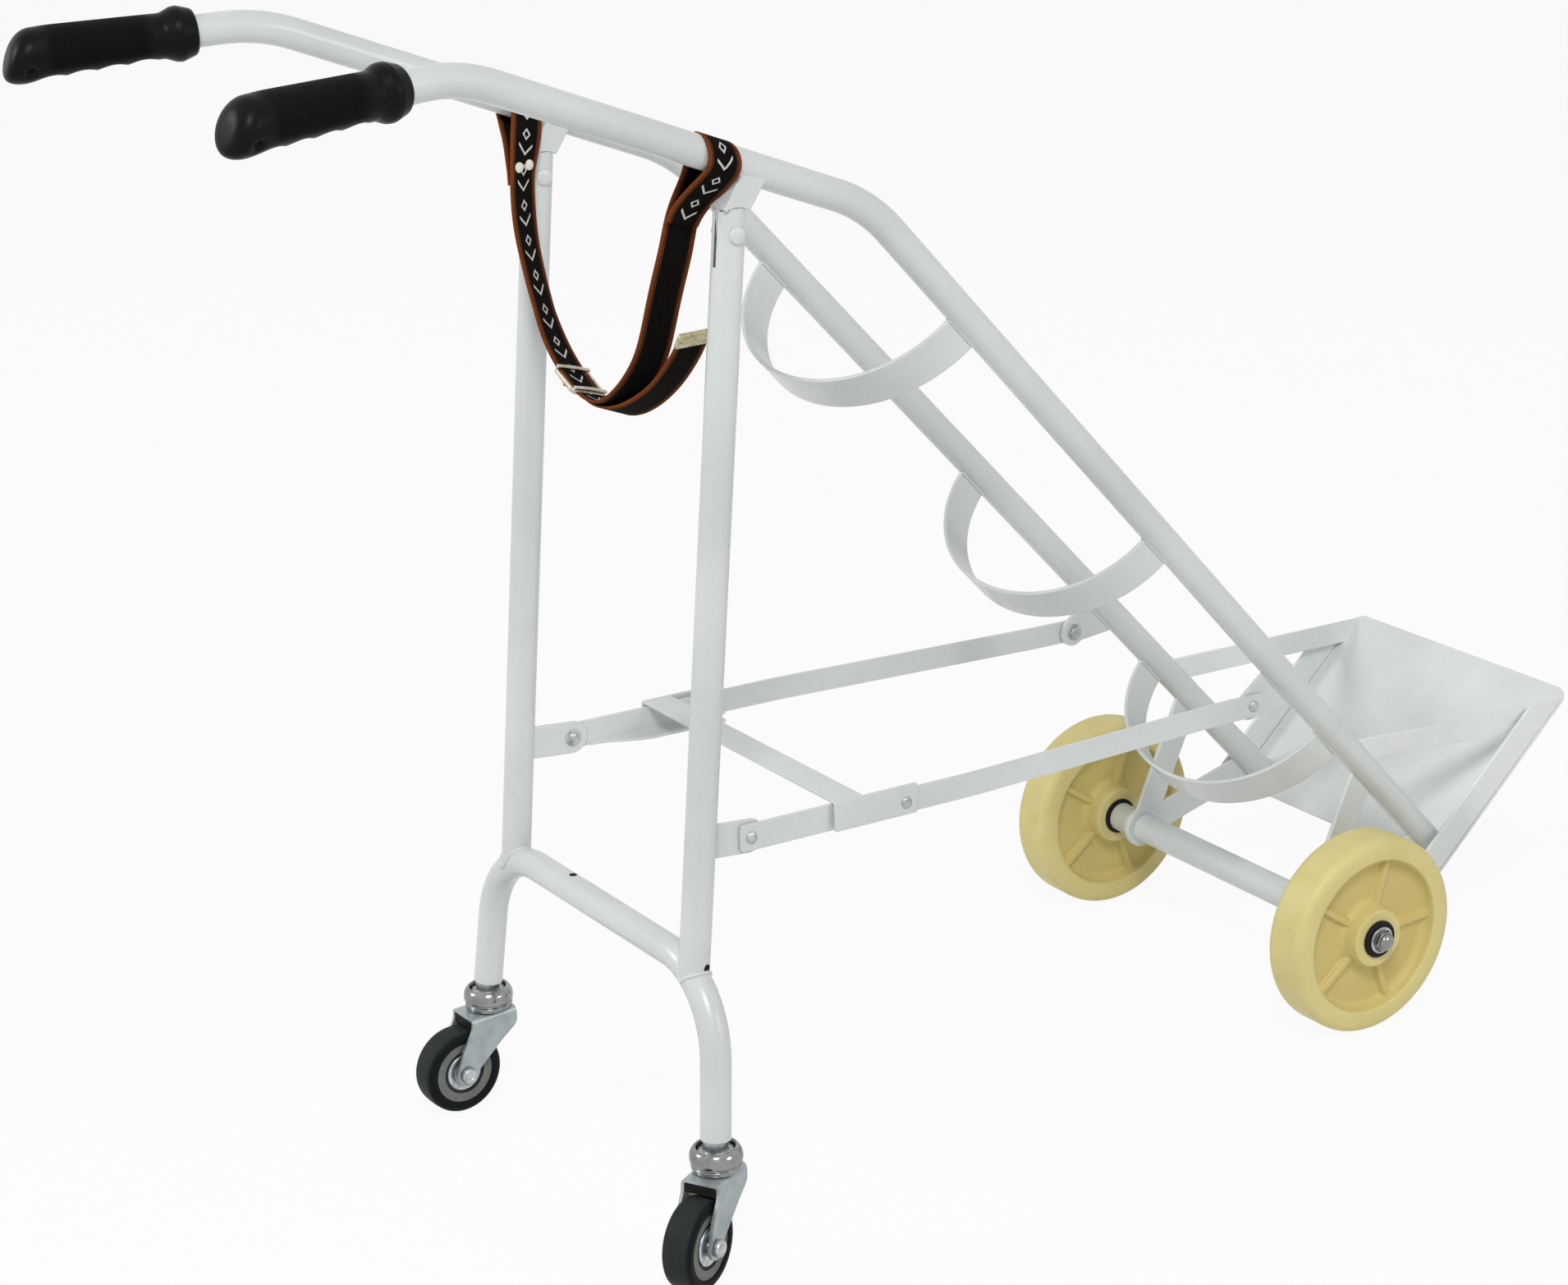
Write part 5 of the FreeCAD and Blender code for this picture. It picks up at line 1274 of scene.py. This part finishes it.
buckle_up = buckle_up if buckle_up[2] > 0 else -buckle_up
buckle_middle = buckle_start + buckle_dir * (BUCKLE_FROM + BUCKLE_LENGTH / 2)


def buckle_bar(at, height, rise):
    """A round cross bar of the slider at a place along it, bowed up by rise over its width."""
    width = np.linspace(-1, 1, 13)[:, None]
    path = buckle_middle + buckle_dir * at + width * BUCKLE_HALF * buckle_across
    path = path + buckle_up * (height + rise * (1 - width ** 2))
    return carried(path, flat_section(3.2, 2.2, 1.05), buckle_dir)


ring_flat = slab(-RING_HALF, -BUCKLE_HALF, RING_HALF, BUCKLE_HALF, 3.5, 15)
ring_path = buckle_middle + ring_flat[:, :1] * buckle_dir + ring_flat[:, 1:] * buckle_across
buckle_shapes = [carried(ring_path, flat_section(3.4, 2.4, 0.9), buckle_up, closed=True)]
buckle_shapes += [buckle_bar(*bar) for bar in BUCKLE_BARS]
buckle = piece("buckle_slider", buckle_shapes, "frame", nickel, ["strap_buckle"])
tip_line = tail_path[-1] + TIP_STATIONS[:, None] * unit(tail_path[-1] - tail_path[-4])
tip_section = flat_section(TIP_WIDTH, TIP_THICK, 1.0)[None] * TIP_SCALES[:, None, None]
tip_shape = carried(tip_line, tip_section, twisted_across(TAIL_TWIST))
tip = piece("tail_tip", [tip_shape], "frame", brass, ["strap_tip"])
far_run = np.flatnonzero((strap_path[:, 1] > 60) & (strap_level < -20) & (strap_path[:, 1] < 110))
rivet_row = far_run[np.argmin(np.abs(strap_level[far_run] - RIVET_LEVEL))]
rivet_across = -np.array([math.cos(strap_twist[rivet_row]), math.sin(strap_twist[rivet_row]), 0.0])
rivet_out = np.cross(WORLD_Z, rivet_across)
rivet_spot = strap_path[rivet_row] + rivet_out * (STRAP_THICK / 2 - 0.1)
cap_dome = dome(RIVET_CAP_RADIUS, RIVET_CAP_HEIGHT)
rivet_heads = [turned(cap_dome, rivet_spot + rivet_across * shift, rivet_out, 32)
               for shift in (-RIVET_OFF, RIVET_OFF)]
rivets = piece("strap_rivet_caps", rivet_heads, "frame", rivet_cap, ["strap_rivets"])
strap_length * 0.001
tail_length * 0.001


# Studio: a pale floor, an even white surround and three broad soft lamps, with a camera at the
# photograph's place. Camera, mirror and glass rays see the surround at full white.
CAMERA_PLACE = np.array([-1.3603, -1.9941, 1.2267])
CAMERA_YAW, CAMERA_PITCH, CAMERA_ROLL = (math.radians(angle) for angle in (-31.96, 20.06, -3.23))
FOCAL_PIXELS, CENTRE_X, CENTRE_Y = 4178.75, 936.71, 798.81
FRAME_WIDTH, FRAME_HEIGHT = 1910, 1565
SENSOR = 36.0
SURROUND = 0.31
FLOOR_HALF, FLOOR_LEVEL, FLOOR_TONE, FLOOR_GLOW = 14, -0.0006, 0.86, 0.92
LAMPS = (("key", (-1.6, -2.4, 3.4), 1.3, 80.0), ("fill", (1.4, -3.2, 1.7), 1.4, 18.0),
         ("rim", (-3.0, 1.9, 2.3), 1.2, 46.0))
LAMP_AIM = np.array([0.0, 0.0, 0.4])


def seen_directly(root):
    """1 for rays from the camera, from mirrors and through glass, 0 for light that falls on the object."""
    camera_ray, glossy, through = (root.make("ShaderNodeLightPath", {}, {}, ray)
                                   for ray in ("Is Camera Ray", "Is Glossy Ray", "Is Transmission Ray"))
    return camera_ray.larger(glossy.larger(through))


def standing(thing, right, back, place):
    """A lamp or camera put in the scene at a place, looking along minus back with right on its right hand."""
    made = bpy.data.objects.new(thing.name, thing)
    bpy.context.scene.collection.objects.link(made)
    rows = np.column_stack([right, np.cross(back, right), back, place]).tolist()
    made.matrix_world = Matrix(rows + [[0, 0, 0, 1]])
    return made


world = bpy.data.worlds.new("surround")
bpy.context.scene.world = world
world.use_nodes = True
world.node_tree.nodes.clear()
sky = Wire(world.node_tree)
sky_strength = seen_directly(sky) * (1 - SURROUND) + SURROUND
sky_light = sky.make("ShaderNodeBackground", {}, {"Color": (1, 1, 1, 1), "Strength": sky_strength})
sky.make("ShaderNodeOutputWorld", {}, {"Surface": sky_light})

floor_mesh = bpy.data.meshes.new("floor")
floor_corners = [(FLOOR_HALF * x, FLOOR_HALF * y, FLOOR_LEVEL)
                 for x, y in ((-1, -1), (1, -1), (1, 1), (-1, 1))]
floor_mesh.from_pydata(floor_corners, [], [(0, 1, 2, 3)])
floor = bpy.data.objects.new("floor", floor_mesh)
bpy.context.scene.collection.objects.link(floor)
floor_paint = bpy.data.materials.new("pale_floor")
floor_paint.use_nodes = True
floor_paint.node_tree.nodes.clear()
ground = Wire(floor_paint.node_tree)
matt = ground.make("ShaderNodeBsdfDiffuse", {}, {"Color": (FLOOR_TONE, FLOOR_TONE, FLOOR_TONE, 1)})
glow = ground.make("ShaderNodeEmission", {}, {"Color": (1, 1, 1, 1), "Strength": 1.0})
floor_mix = ground.make("ShaderNodeMixShader", {}, {0: seen_directly(ground) * FLOOR_GLOW, 1: matt, 2: glow})
ground.make("ShaderNodeOutputMaterial", {}, {"Surface": floor_mix})
floor_mesh.materials.append(floor_paint)

for lamp_name, place, size, power in LAMPS:
    lamp = bpy.data.lights.new(lamp_name, "AREA")
    lamp.shape = "DISK"
    lamp.size = size
    lamp.energy = power
    back = unit(np.array(place) - LAMP_AIM)
    standing(lamp, unit(np.cross(WORLD_Z, back)), back, place)

back = np.array([math.sin(CAMERA_YAW) * math.cos(CAMERA_PITCH),
                 -math.cos(CAMERA_YAW) * math.cos(CAMERA_PITCH), math.sin(CAMERA_PITCH)])
level_right = np.array([math.cos(CAMERA_YAW), math.sin(CAMERA_YAW), 0.0])
right = math.cos(CAMERA_ROLL) * level_right + math.sin(CAMERA_ROLL) * np.cross(back, level_right)
lens = bpy.data.cameras.new("camera")
lens.sensor_fit = "HORIZONTAL"
lens.sensor_width = SENSOR
lens.lens = FOCAL_PIXELS / FRAME_WIDTH * SENSOR
lens.shift_x = (FRAME_WIDTH / 2 - CENTRE_X) / FRAME_WIDTH
lens.shift_y = (CENTRE_Y - FRAME_HEIGHT / 2) / FRAME_WIDTH
lens.clip_end = 100.0
bpy.context.scene.camera = standing(lens, right, back, CAMERA_PLACE)
bpy.context.scene.view_settings.view_transform = "Standard"
